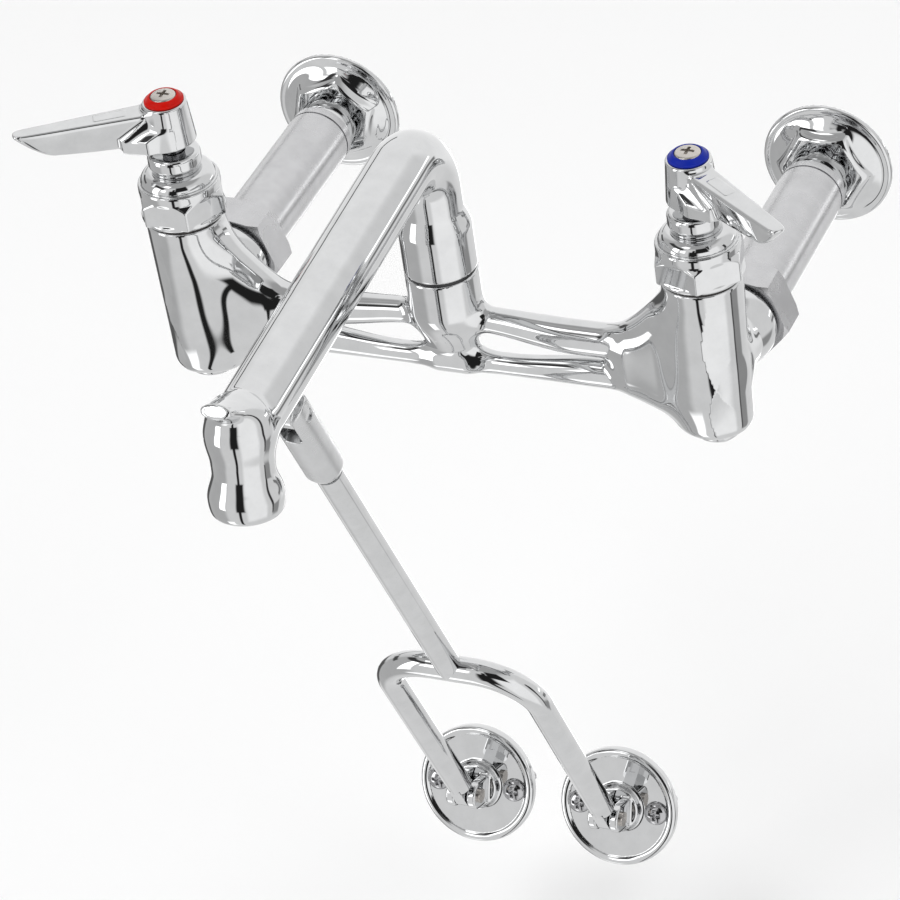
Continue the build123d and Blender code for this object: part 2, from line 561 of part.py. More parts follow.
def crossbar():
    """Axis bar of the fork's crossbar, used to cope the rod's end."""
    return Pos(0, 0, CROSSBAR_AT) * cross_pin(FORK_R, FORK_HALF)


def brace_rod():
    """Straight rod, necked where it enters the socket and coped over the crossbar."""
    rod = disc(ROD_R, CLEVIS_LEN - ROD_ENTRY, CROSSBAR_AT)
    neck = CLEVIS_LEN + 0.8
    rod -= ring(ROD_R + 1, ROD_R - ROD_NECK_D, neck, neck + ROD_NECK_W)
    return rod - crossbar()


def brace_fork():
    """One round bar bent to a yoke, its legs flattened to tongues at the pivots."""
    foot = LEG_AT - TONGUE_L
    path = FilletPolyline((-FORK_HALF, 0, foot), (-FORK_HALF, 0, CROSSBAR_AT),
                          (FORK_HALF, 0, CROSSBAR_AT), (FORK_HALF, 0, foot), radius=FORK_BEND)
    start = Plane(origin=(-FORK_HALF, 0, foot), z_dir=(0, 0, -1))
    fork = sweep(start * Circle(FORK_R), path=path)
    for side in (-1, 1):
        tongue = Pos(0, 0, -TONGUE_L / 2 - 1) * Box(TONGUE_T, 2 * TONGUE_R, TONGUE_L + 2)
        tongue += cross_pin(TONGUE_R, TONGUE_T / 2)
        tongue -= cross_pin(BRACKET_PIN_R + RUN, TONGUE_T)
        fork += Pos(side * FORK_HALF, 0, LEG_AT) * tongue
    return fork


# ---------------------------------------------------------------- wall brackets
def bracket_screw_spots():
    """Places of the two screws of a bracket."""
    return [Pos(x, 0, -PIVOT_H) for x in (-SCREW_SPACING / 2, SCREW_SPACING / 2)]


def wall_bracket():
    """Thick round foot with a raised boss and two ears for the leg's tongue."""
    foot = turned((0, 0), (BRACKET_R - 0.8, 0), (BRACKET_R, 0.8), (BRACKET_R, BRACKET_T - 2.2),
                  (BRACKET_R - 0.5, BRACKET_T - 0.8), (BRACKET_R - 1.3, BRACKET_T),
                  (BRACKET_FACE_R, BRACKET_T), (BRACKET_FACE_R - BRACKET_STEP, BRACKET_T - BRACKET_STEP),
                  (0, BRACKET_T - BRACKET_STEP))
    floor = BRACKET_T - BRACKET_STEP
    foot += taper(BOSS_R, BOSS_R - 0.9, floor, floor + BOSS_H)
    ear = cross_pin(EAR_R, EAR_T / 2)
    ear += Pos(0, 0, -(PIVOT_H - floor) / 2) * Box(EAR_T, 2 * EAR_R, PIVOT_H - floor)
    body = Pos(0, 0, -PIVOT_H) * foot
    for side in (-1, 1):
        body += Pos(side * (EAR_GAP + EAR_T) / 2, 0, 0) * ear
    body -= cross_pin(BRACKET_PIN_R, EAR_GAP / 2 + EAR_T + 1)
    for spot in bracket_screw_spots():
        body -= spot * disc(WALL_SCREW_R, -1, BRACKET_T + 1)
    return body


def bracket_pin():
    """Riveted pin through the ears and the tongue."""
    half = EAR_GAP / 2 + EAR_T
    return cross_pin(BRACKET_PIN_R, half) + Pos(half + 0.5, 0, 0) * cross_pin(BRACKET_PIN_R + 0.9, 0.5)


def bracket_screws():
    """Two round head wall screws."""
    seat = BRACKET_T - BRACKET_STEP
    head = disc(WALL_SCREW_HEAD_R, seat, seat + WALL_SCREW_HEAD_H)
    head = fillet(head.edges().sort_by(Axis.Z)[-1], WALL_SCREW_HEAD_H * 0.8)
    head -= cross_recess(seat + WALL_SCREW_HEAD_H)
    screw = head + disc(WALL_SCREW_R, -WALL_SCREW_OUT, seat)
    return [spot * screw for spot in bracket_screw_spots()]


# ---------------------------------------------------------------- assembly
def valve_pieces(side, name):
    """Write every node that belongs to one valve and its supply."""
    valve = {
        "bonnet": bonnet(side), "bonnet_gasket": bonnet_gasket(), "packing_nut": packing_nut(),
        "packing": packing(), "spindle": spindle(), "plunger": plunger(),
        "seat_washer": seat_washer(), "washer_screw": washer_screw(), "valve_seat": valve_seat(),
        "lever": lever(side), "index_ring": index_ring(), "lever_screw": lever_screw(),
    }
    supply = {
        "wall_flange": wall_flange(side), "supply_tube": supply_tube(),
        "coupling_washer": coupling_washer(), "coupling_nut": coupling_nut(),
    }
    for piece, shape in valve.items():
        write(f"{name}_{piece}", at_valve(side, shape))
    for piece, shape in supply.items():
        write(f"{name}_{piece}", at_inlet(side, shape))


def main():
    """Build and write every node."""
    os.makedirs("parts", exist_ok=True)
    write("body_casting", body_casting())
    write("spout", spout())
    write("swivel_stem", swivel_stem())
    write("spout_o_rings", Compound(children=spout_o_rings()))
    write("snap_ring", snap_ring())
    write("spout_washer", spout_washer())
    valve_pieces(HOT, "hot")
    valve_pieces(COLD, "cold")
    write("brace_clevis", on_brace(brace_clevis()))
    write("brace_pin", on_brace(brace_pin()))
    write("brace_rod", on_brace(brace_rod()))
    write("brace_fork", on_brace(brace_fork()))
    for side, name in ((HOT, "left"), (COLD, "right")):
        write(f"{name}_bracket", on_bracket(side, wall_bracket()))
        write(f"{name}_bracket_pin", on_bracket(side, bracket_pin()))
        write(f"{name}_bracket_screws", on_bracket(side, Compound(children=bracket_screws())))


main()
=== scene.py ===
"""Looks of a wall mounted service sink faucet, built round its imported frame.

The frame's nodes keep their shapes where those are plain turned or bent metal, and take a
procedural finish. The cast pieces, whose walls run into each other in soft fillets, are
made again here as implicit solids: simple forms are blended, meshed and relaxed on the
blended surface. Sizes are millimetres in the part's own frame until a mesh is made.
"""
from __future__ import annotations

import logging
import math
from dataclasses import dataclass
from enum import Enum
from typing import Callable

import bpy
import numpy as np
from mathutils import Matrix, Vector

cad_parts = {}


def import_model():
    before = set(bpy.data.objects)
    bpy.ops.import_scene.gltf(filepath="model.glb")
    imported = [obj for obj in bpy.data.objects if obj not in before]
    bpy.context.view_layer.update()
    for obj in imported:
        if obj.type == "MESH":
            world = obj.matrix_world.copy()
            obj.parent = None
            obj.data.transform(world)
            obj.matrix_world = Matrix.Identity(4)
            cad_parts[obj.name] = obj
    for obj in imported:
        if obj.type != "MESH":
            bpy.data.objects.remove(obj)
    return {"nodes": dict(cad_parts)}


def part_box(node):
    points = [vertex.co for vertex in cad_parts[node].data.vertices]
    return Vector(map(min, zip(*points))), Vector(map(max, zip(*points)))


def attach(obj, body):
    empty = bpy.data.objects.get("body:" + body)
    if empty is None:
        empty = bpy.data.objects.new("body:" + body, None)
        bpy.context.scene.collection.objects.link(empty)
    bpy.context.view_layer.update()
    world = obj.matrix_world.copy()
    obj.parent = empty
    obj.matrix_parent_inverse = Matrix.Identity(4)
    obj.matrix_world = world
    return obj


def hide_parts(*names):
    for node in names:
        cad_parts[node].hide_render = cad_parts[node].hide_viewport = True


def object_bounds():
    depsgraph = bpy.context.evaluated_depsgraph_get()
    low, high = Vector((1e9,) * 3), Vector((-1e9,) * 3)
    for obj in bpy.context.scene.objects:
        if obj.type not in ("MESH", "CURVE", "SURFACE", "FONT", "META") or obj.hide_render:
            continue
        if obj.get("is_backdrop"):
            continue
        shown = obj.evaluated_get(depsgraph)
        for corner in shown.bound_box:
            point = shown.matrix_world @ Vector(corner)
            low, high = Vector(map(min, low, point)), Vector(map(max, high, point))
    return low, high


LOG = logging.getLogger("faucet")
MM = 0.001
PROBE_MM = 0.05
LEAST_SLOPE_SQUARED = 0.04
HAIRLINE_MM = 0.0006
GRAIN_MM = 0.02
FAR_MM = 60.0
NEVER_MM = 1e3
FLOAT_SOCKET = "NodeSocketFloat"
MIX_FACTOR, MIX_A, MIX_B, MIX_RESULT = 0, 6, 7, 2
CHROME_TONE = (0.66, 0.665, 0.67)
Field = Callable[[np.ndarray], np.ndarray]


# ------------------------------------------------------------------ implicit forms
def blend_min(a: np.ndarray, b: np.ndarray, k: float) -> np.ndarray:
    """Union of two fields with a fillet.

    Args:
        a: Distances of the first form.
        b: Distances of the second form.
        k: Reach of the fillet in mm.

    Returns:
        The blended distances.
    """
    h = np.clip(0.5 + 0.5 * (b - a) / k, 0.0, 1.0)
    return b + (a - b) * h - k * h * (1.0 - h)


def blend_max(a: np.ndarray, b: np.ndarray, k: float) -> np.ndarray:
    """Intersection of two fields with an edge rounded over k mm."""
    return -blend_min(-a, -b, k)


def ease(t: np.ndarray) -> np.ndarray:
    """Smooth step from 0 to 1."""
    t = np.clip(t, 0.0, 1.0)
    return t * t * (3.0 - 2.0 * t)


def profile(h: np.ndarray, knots: tuple[tuple[float, float], ...]) -> np.ndarray:
    """Radius along an axis, level at each knot and eased between them.

    Args:
        h: Places along the axis in mm.
        knots: (place, radius) pairs in rising order.

    Returns:
        The radius at each place.
    """
    radius = np.full(h.shape, knots[0][1])
    for (h0, r0), (h1, r1) in zip(knots, knots[1:]):
        radius = radius + (r1 - r0) * ease((h - h0) / (h1 - h0))
    return radius


def radial(p: np.ndarray, a: int, b: int) -> np.ndarray:
    """Distance from an axis, in the plane of two coordinates."""
    return np.hypot(p[:, a], p[:, b])


def drum(p: np.ndarray, low: float, high: float, r_low: float, r_high: float,
         edge: float, axis: int = 2) -> np.ndarray:
    """Field of a cone frustum or cylinder on a coordinate axis.

    Args:
        p: Points in mm.
        low: Place of the first end.
        high: Place of the second end.
        r_low: Radius at the first end.
        r_high: Radius at the second end.
        edge: Rounding of both rims.
        axis: Index of the axis.

    Returns:
        Distances to the form.
    """
    a, b = [i for i in range(3) if i != axis]
    h = p[:, axis]
    slope = (r_high - r_low) / (high - low)
    side = (radial(p, a, b) - (r_low + slope * (h - low))) / math.hypot(1.0, slope)
    caps = np.maximum(low - h, h - high)
    return blend_max(side, caps, edge)


def folded(p: np.ndarray, x: float) -> np.ndarray:
    """Points about a plane at x that also stands for its mirror image at -x."""
    q = p.copy()
    q[:, 0] = np.abs(q[:, 0]) - x
    return q


def capsule(p: np.ndarray, start: np.ndarray, end: np.ndarray, r0: float, r1: float) -> np.ndarray:
    """Field of a round ended rod whose radius changes from start to end."""
    along = end - start
    t = np.clip(((p - start) @ along) / (along @ along), 0.0, 1.0)
    gap = p - start - t[:, None] * along
    return np.sqrt((gap * gap).sum(axis=1)) - (r0 + (r1 - r0) * t)


def hexagon(p: np.ndarray, across_flats: float, turn: float, edge: float) -> np.ndarray:
    """Field of an endless hexagonal bar on the third axis.

    Args:
        p: Points in mm.
        across_flats: Distance between opposite flats.
        turn: Angle of a corner, in radians.
        edge: Rounding of the six edges.

    Returns:
        Distances to the bar.
    """
    bar = None
    for k in range(3):
        angle = turn + math.radians(30.0 + 60.0 * k)
        flat = np.abs(p[:, 0] * math.cos(angle) + p[:, 1] * math.sin(angle)) - across_flats / 2
        bar = flat if bar is None else blend_max(bar, flat, edge)
    return bar


def block(p: np.ndarray, half: tuple[float, float, float], edge: float) -> np.ndarray:
    """Field of a rounded block about the origin, from its half sizes."""
    sides = blend_max(np.abs(p[:, 0]) - half[0], np.abs(p[:, 1]) - half[1], edge)
    return blend_max(sides, np.abs(p[:, 2]) - half[2], edge)


def cross_recess(p: np.ndarray, top: float, length: float, width: float, depth: float) -> np.ndarray:
    """Field of a cross shaped driver recess let down from a height."""
    q = p - np.array([0.0, 0.0, top])
    half = (length / 2, width / 2, depth)
    return np.minimum(block(q, half, 0.15), block(q[:, [1, 0, 2]], half, 0.15))


def tilted(world: np.ndarray, origin: np.ndarray, degrees: float) -> np.ndarray:
    """Points seen from a frame at an origin, turned about X by an angle."""
    c, s = math.cos(math.radians(degrees)), math.sin(math.radians(degrees))
    p = world - origin
    return np.stack([p[:, 0], p[:, 1] * c + p[:, 2] * s, p[:, 2] * c - p[:, 1] * s], axis=1)


class ImplicitMesher:
    """Turns a field into a relaxed quad mesh by surface nets and Newton steps."""

    def __init__(self, step: float, relax: int = 4) -> None:
        """Keeps the grid step in mm and the number of smoothing rounds."""
        self.step = step
        self.relax = relax

    def sample(self, shape: Field, low: np.ndarray, high: np.ndarray) -> tuple[np.ndarray, np.ndarray]:
        """Samples a field on a grid, a slab at a time.

        Args:
            shape: The field.
            low: Lowest corner in mm.
            high: Highest corner in mm.

        Returns:
            The grid of distances, and the grid's origin.
        """
        counts = np.ceil((high - low) / self.step).astype(int) + 2
        origin = low - 0.5 * self.step
        ys, zs = np.meshgrid(np.arange(counts[1]), np.arange(counts[2]), indexing="ij")
        grid = np.empty(counts)
        for i in range(counts[0]):
            p = np.stack([np.full(ys.size, i), ys.ravel(), zs.ravel()], axis=1) * self.step + origin
            grid[i] = shape(p).reshape(ys.shape)
        return grid, origin

    def gradient(self, shape: Field, p: np.ndarray) -> np.ndarray:
        """Gradient of the field by central differences."""
        slopes = []
        for axis in range(3):
            shift = np.zeros(3)
            shift[axis] = PROBE_MM
            slopes.append((shape(p + shift) - shape(p - shift)) / (2.0 * PROBE_MM))
        return np.stack(slopes, axis=1)

    def settle(self, shape: Field, p: np.ndarray, rounds: int) -> np.ndarray:
        """Moves points onto the zero surface."""
        for _ in range(rounds):
            g = self.gradient(shape, p)
            square = np.maximum((g * g).sum(axis=1), LEAST_SLOPE_SQUARED)
            move = (shape(p) / square)[:, None] * g
            length = np.sqrt((move * move).sum(axis=1))
            p = p - move * np.minimum(1.0, self.step / np.maximum(length, 1e-9))[:, None]
        return p

    def nets(self, grid: np.ndarray) -> tuple[np.ndarray, np.ndarray]:
        """Surface nets of a sampled field.

        Args:
            grid: Distances at the grid's corners.

        Returns:
            Vertices in grid units, and quads.
        """
        inside = grid < 0.0
        cells = tuple(n - 1 for n in grid.shape)
        total = np.zeros(cells + (3,))
        count = np.zeros(cells)
        starts = [(0, 0), (0, 1), (1, 0), (1, 1)]
        for axis in range(3):
            others = [i for i in range(3) if i != axis]
            for u, v in starts:
                lo = [slice(0, n) for n in cells]
                for other, offset in zip(others, (u, v)):
                    lo[other] = slice(offset, offset + cells[other])
                hi = list(lo)
                hi[axis] = slice(1, 1 + cells[axis])
                a, b = grid[tuple(lo)], grid[tuple(hi)]
                crossing = inside[tuple(lo)] != inside[tuple(hi)]
                t = np.where(crossing, a / np.where(crossing, a - b, 1.0), 0.0)
                total[..., axis] += np.where(crossing, t, 0.0)
                total[..., others[0]] += np.where(crossing, u, 0.0)
                total[..., others[1]] += np.where(crossing, v, 0.0)
                count += crossing
        live = count > 0
        index = np.full(cells, -1)
        index[live] = np.arange(live.sum())
        places = np.argwhere(live) + total[live] / count[live][:, None]
        return places, np.concatenate([self.axis_quads(inside, index, axis) for axis in range(3)])

    @staticmethod
    def axis_quads(inside: np.ndarray, index: np.ndarray, axis: int) -> np.ndarray:
        """Quads round the grid edges that run along one axis and cross the surface."""
        b, c = (axis + 1) % 3, (axis + 2) % 3
        lo = [slice(None)] * 3
        hi = [slice(None)] * 3
        lo[axis], hi[axis] = slice(0, -1), slice(1, None)
        first, last = inside[tuple(lo)], inside[tuple(hi)]
        at = np.argwhere(first != last)
        at = at[(at[:, b] > 0) & (at[:, c] > 0)]
        at = at[(at[:, b] < index.shape[b]) & (at[:, c] < index.shape[c])]
        outward = first[tuple(at.T)]
        corners = []
        for db, dc in ((1, 1), (0, 1), (0, 0), (1, 0)):
            cell = at.copy()
            cell[:, b] -= db
            cell[:, c] -= dc
            corners.append(index[tuple(cell.T)])
        quads = np.stack(corners, axis=1)
        quads[~outward] = quads[~outward][:, ::-1]
        return quads

    def mesh(self, name: str, shape: Field, low: tuple[float, float, float],
             high: tuple[float, float, float]) -> bpy.types.Object:
        """Meshes a field into a new object.

        Args:
            name: The object's name.
            shape: The field, in mm in the part's frame.
            low: Lowest corner of the grid in mm.
            high: Highest corner of the grid in mm.

        Returns:
            The linked object, in metres, with smooth normals.
        """
        grid, origin = self.sample(shape, np.array(low), np.array(high))
        places, quads = self.nets(grid)
        p = self.settle(shape, places * self.step + origin, 3)
        pairs = np.concatenate([quads[:, [i, (i + 1) % 4]] for i in range(4)])
        pairs = np.concatenate([pairs, pairs[:, ::-1]])
        degree = np.bincount(pairs[:, 0], minlength=len(p)).astype(float)
        for _ in range(self.relax):
            mean = np.stack([np.bincount(pairs[:, 0], p[pairs[:, 1], k], len(p)) for k in range(3)], axis=1)
            p = p + 0.5 * (mean / np.maximum(degree, 1.0)[:, None] - p)
            p = self.settle(shape, p, 1)
        p = self.settle(shape, p, 2)
        g = self.gradient(shape, p)
        normals = g / np.maximum(np.linalg.norm(g, axis=1), 1e-9)[:, None]
        data = bpy.data.meshes.new(name)
        data.from_pydata((p * MM).tolist(), [], quads.tolist())
        data.shade_smooth()
        data.normals_split_custom_set_from_vertices(normals.tolist())
        piece = bpy.data.objects.new(name, data)
        bpy.context.scene.collection.objects.link(piece)
        LOG.info("%s: %d vertices, %d quads", name, len(p), len(quads))
        return piece


# ------------------------------------------------------------------ materials
class GroupBuilder:
    """Builds one shader node group with named inputs and outputs."""

    def __init__(self, name: str) -> None:
        """Makes an empty group with its input and output nodes."""
        self.tree = bpy.data.node_groups.new(name, "ShaderNodeTree")
        self.inside = self.tree.nodes.new("NodeGroupInput")
        self.outside = self.tree.nodes.new("NodeGroupOutput")

    def takes(self, name: str, default: float) -> bpy.types.NodeSocket:
        """Adds an input and returns its socket inside the group."""
        item = self.tree.interface.new_socket(name=name, in_out="INPUT", socket_type=FLOAT_SOCKET)
        item.default_value = default
        return self.inside.outputs[name]

    def gives(self, name: str, source: bpy.types.NodeSocket) -> None:
        """Adds an output fed by a socket."""
        self.tree.interface.new_socket(name=name, in_out="OUTPUT", socket_type=FLOAT_SOCKET)
        self.tree.links.new(source, self.outside.inputs[name])

    def place(self, kind: str, **settings: object) -> bpy.types.Node:
        """Adds a node and sets its plain properties."""
        node = self.tree.nodes.new(kind)
        for key, value in settings.items():
            setattr(node, key, value)
        return node

    def join(self, source: bpy.types.NodeSocket, target: bpy.types.NodeSocket) -> None:
        """Links two sockets."""
        self.tree.links.new(source, target)

    def coordinates(self) -> bpy.types.NodeSocket:
        """Object coordinates, in metres."""
        return self.place("ShaderNodeTexCoord").outputs["Object"]

    def noise(self, vector: bpy.types.NodeSocket, scale: float, detail: float,
              rough: float) -> bpy.types.NodeSocket:
        """Noise between 0 and 1."""
        node = self.place("ShaderNodeTexNoise")
        node.inputs["Scale"].default_value = scale
        node.inputs["Detail"].default_value = detail
        node.inputs["Roughness"].default_value = rough
        self.join(vector, node.inputs["Vector"])
        return node.outputs["Fac"]

    def span(self, value: bpy.types.NodeSocket, source: tuple[float, float],
             target: tuple[object, object]) -> bpy.types.NodeSocket:
        """Maps a range onto another; a target end may be a socket."""
        node = self.place("ShaderNodeMapRange", clamp=True)
        self.join(value, node.inputs["Value"])
        node.inputs["From Min"].default_value = source[0]
        node.inputs["From Max"].default_value = source[1]
        for name, end in zip(("To Min", "To Max"), target):
            if isinstance(end, bpy.types.NodeSocket):
                self.join(end, node.inputs[name])
            else:
                node.inputs[name].default_value = end
        return node.outputs["Result"]

    def math(self, operation: str, a: object, b: object = 0.0) -> bpy.types.NodeSocket:
        """One math node on sockets or numbers."""
        node = self.place("ShaderNodeMath", operation=operation)
        for slot, value in zip(node.inputs, (a, b)):
            if isinstance(value, bpy.types.NodeSocket):
                self.join(value, slot)
            else:
                slot.default_value = value
        return node.outputs["Value"]


def polish_group() -> bpy.types.NodeTree:
    """Group that varies a polished surface: buffing haze, hairlines and handling smudges.

    Returns:
        A group with Base, Haze and Hairlines inputs and Roughness and Relief outputs.
    """
    g = GroupBuilder("polish")
    base = g.takes("Base", 0.03)
    haze = g.takes("Haze", 0.05)
    lines = g.takes("Hairlines", 0.3)
    where = g.coordinates()
    cloud = g.noise(where, 55.0, 4.0, 0.6)
    smudge = g.noise(where, 190.0, 3.0, 0.55)
    clouded = g.span(cloud, (0.42, 0.72), (0.0, 1.0))
    smudged = g.span(smudge, (0.35, 0.75), (0.2, 1.0))
    patch = g.math("MULTIPLY", clouded, smudged)
    g.gives("Roughness", g.math("ADD", base, g.math("MULTIPLY", patch, haze)))
    stretch = g.place("ShaderNodeMapping")
    stretch.inputs["Scale"].default_value = (2600.0, 2600.0, 90.0)
    stretch.inputs["Rotation"].default_value = (0.35, 0.5, 0.2)
    g.join(where, stretch.inputs["Vector"])
    hair = g.noise(stretch.outputs["Vector"], 1.0, 2.0, 0.7)
    g.gives("Relief", g.math("MULTIPLY", g.span(hair, (0.3, 0.7), (0.0, 1.0)), lines))
    return g.tree


def ripple_group() -> bpy.types.NodeTree:
    """Group for the slow waves that hand polishing leaves in a casting.

    Returns:
        A group with Scale and Depth inputs and a Relief output.
    """
    g = GroupBuilder("casting_ripple")
    scale = g.takes("Scale", 60.0)
    depth = g.takes("Depth", 1.0)
    node = g.place("ShaderNodeTexNoise")
    node.inputs["Detail"].default_value = 1.0
    node.inputs["Roughness"].default_value = 0.4
    g.join(g.coordinates(), node.inputs["Vector"])
    g.join(scale, node.inputs["Scale"])
    g.gives("Relief", g.math("MULTIPLY", node.outputs["Fac"], depth))
    return g.tree


def grain_group() -> bpy.types.NodeTree:
    """Group for a fine matt grain with mottled tone, as on rough plate, fibre or moulded plastic.

    Returns:
        A group with Scale, Low and High inputs and Tone and Relief outputs.
    """
    g = GroupBuilder("grain")
    scale = g.takes("Scale", 3000.0)
    low = g.takes("Low", 0.9)
    high = g.takes("High", 1.0)
    where = g.coordinates()
    fine = g.place("ShaderNodeTexNoise")
    fine.inputs["Detail"].default_value = 3.0
    g.join(where, fine.inputs["Vector"])
    g.join(scale, fine.inputs["Scale"])
    mottle = g.noise(where, 120.0, 3.0, 0.6)
    g.gives("Tone", g.span(mottle, (0.3, 0.7), (low, high)))
    g.gives("Relief", fine.outputs["Fac"])
    return g.tree


@dataclass(frozen=True)
class Finish:
    """One finish: a principled shader dressed by the shared groups."""

    name: str
    colour: tuple[float, float, float]
    metal: float = 1.0
    roughness: float = 0.05
    haze: float = 0.05
    hairlines: float = 0.25
    ripple: float = 0.0
    ripple_scale: float = 60.0
    ripple_depth_mm: float = 0.03
    grain: float = 0.0
    grain_scale: float = 3000.0
    tone_low: float = 0.92
    coat: float = 0.0
    specular: float = 0.5

    def build(self, groups: dict[str, bpy.types.NodeTree]) -> bpy.types.Material:
        """Makes the material.

        Args:
            groups: The shared shader groups by name.

        Returns:
            The finished material.
        """
        mat = bpy.data.materials.new(self.name)
        mat.use_nodes = True
        tree = mat.node_tree
        shader = tree.nodes["Principled BSDF"]
        shader.inputs["Metallic"].default_value = self.metal
        shader.inputs["Coat Weight"].default_value = self.coat
        shader.inputs["Coat Roughness"].default_value = 0.04
        shader.inputs["Specular IOR Level"].default_value = self.specular
        polish = self.add_group(tree, groups["polish"], Base=self.roughness, Haze=self.haze,
                                Hairlines=self.hairlines)
        tree.links.new(polish.outputs["Roughness"], shader.inputs["Roughness"])
        grain = self.add_group(tree, groups["grain"], Scale=self.grain_scale, Low=self.tone_low, High=1.0)
        tint = tree.nodes.new("ShaderNodeMix")
        tint.data_type = "RGBA"
        tint.blend_type = "MULTIPLY"
        tint.inputs[MIX_FACTOR].default_value = 1.0
        tint.inputs[MIX_A].default_value = (*self.colour, 1.0)
        tree.links.new(grain.outputs["Tone"], tint.inputs[MIX_B])
        tree.links.new(tint.outputs[MIX_RESULT], shader.inputs["Base Color"])
        normal = self.bump(tree, polish.outputs["Relief"], HAIRLINE_MM, None)
        if self.grain > 0.0:
            normal = self.bump(tree, grain.outputs["Relief"], GRAIN_MM * self.grain, normal)
        if self.ripple > 0.0:
            wave = self.add_group(tree, groups["ripple"], Scale=self.ripple_scale, Depth=self.ripple)
            normal = self.bump(tree, wave.outputs["Relief"], self.ripple_depth_mm, normal)
        tree.links.new(normal, shader.inputs["Normal"])
        return mat

    @staticmethod
    def add_group(tree: bpy.types.NodeTree, group: bpy.types.NodeTree, **values: float) -> bpy.types.Node:
        """Places a shared group with its own values."""
        node = tree.nodes.new("ShaderNodeGroup")
        node.node_tree = group
        for key, value in values.items():
            node.inputs[key].default_value = value
        return node

    @staticmethod
    def bump(tree: bpy.types.NodeTree, height: bpy.types.NodeSocket, depth_mm: float,
             under: bpy.types.NodeSocket | None) -> bpy.types.NodeSocket:
        """Adds a bump of a depth in mm over another normal."""
        node = tree.nodes.new("ShaderNodeBump")
        node.inputs["Distance"].default_value = depth_mm * MM
        tree.links.new(height, node.inputs["Height"])
        if under is not None:
            tree.links.new(under, node.inputs["Normal"])
        return node.outputs["Normal"]


CHROME = Finish("cast_chrome", CHROME_TONE, roughness=0.035, haze=0.05, ripple=1.0,
                ripple_scale=70.0, ripple_depth_mm=0.09)
TURNED_CHROME = Finish("turned_chrome", CHROME_TONE, roughness=0.03, haze=0.04)
BENT_CHROME = Finish("bent_bar_chrome", CHROME_TONE, roughness=0.045, haze=0.06, ripple=1.0,
                     ripple_scale=45.0, ripple_depth_mm=0.03)
SATIN = Finish("rough_plate", (0.58, 0.58, 0.59), roughness=0.25, haze=0.10, grain=0.35,
               grain_scale=1800.0, tone_low=0.90)
BRUSHED = Finish("brushed_chrome", CHROME_TONE, roughness=0.26, haze=0.20, hairlines=1.0, grain=0.04,
                 tone_low=0.92)
STEEL = Finish("bright_steel", (0.60, 0.565, 0.53), roughness=0.24, haze=0.12, grain=0.1, tone_low=0.8)
SCREW_PLATE = Finish("screw_plate", (0.50, 0.50, 0.51), roughness=0.09, haze=0.10, tone_low=0.8)
# Valve spindle: steel whose base colour is darkened to stand for the shade in the gap between packing nut and
# lever, a painted shade.
SPINDLE_GAP_SHADE_STEEL = Finish("spindle_steel_painted_gap_shade", (0.22, 0.22, 0.23), roughness=0.25, haze=0.15, tone_low=0.7)
BRASS = Finish("machined_brass", (0.76, 0.58, 0.28), roughness=0.22, haze=0.12, hairlines=1.0, tone_low=0.85)
RUBBER = Finish("rubber", (0.022, 0.022, 0.024), metal=0.0, roughness=0.55, grain=0.5, tone_low=0.7)
NYLON = Finish("black_nylon", (0.02, 0.02, 0.022), metal=0.0, roughness=0.38, grain=0.2, tone_low=0.8)
FIBRE = Finish("pressed_fibre", (0.055, 0.05, 0.048), metal=0.0, roughness=0.75, grain=1.0,
               grain_scale=2200.0, tone_low=0.6)
RED = Finish("red_plastic", (0.54, 0.006, 0.002), metal=0.0, roughness=0.30, haze=0.10, grain=0.08,
             tone_low=0.85, specular=0.12)
BLUE = Finish("blue_plastic", (0.006, 0.020, 0.30), metal=0.0, roughness=0.30, haze=0.10, grain=0.08,
              tone_low=0.85, specular=0.12)


class FinishShelf:
    """Builds each finish once and lays it on pieces."""

    def __init__(self) -> None:
        """Builds the shared groups."""
        self.groups = {"polish": polish_group(), "ripple": ripple_group(), "grain": grain_group()}
        self.made: dict[str, bpy.types.Material] = {}

    def dress(self, piece: bpy.types.Object, finish: Finish) -> None:
        """Gives a piece one finish all over."""
        if finish.name not in self.made:
            self.made[finish.name] = finish.build(self.groups)
        piece.data.materials.clear()
        piece.data.materials.append(self.made[finish.name])


# ------------------------------------------------------------------ frame measures
@dataclass
class FramePlaces:
    """Places that the sub-assemblies take from the frame, in mm."""

    post_y: float
    valve_x: float
    lever_top: float
    pin_y: float
    pin_z: float

    @classmethod
    def read(cls) -> "FramePlaces":
        """Measures the frame's own nodes."""
        valve = cls.centre("cold_packing_nut")
        pin = cls.centre("brace_pin")
        lever_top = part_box("cold_lever")[1][2] / MM
        return cls(post_y=cls.centre("spout_washer")[1], valve_x=valve[0], lever_top=lever_top,
                   pin_y=pin[1], pin_z=pin[2])

    @staticmethod
    def centre(node: str) -> np.ndarray:
        """Centre of a node's box in mm."""
        low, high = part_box(node)
        return (np.array(low) + np.array(high)) / 2 / MM


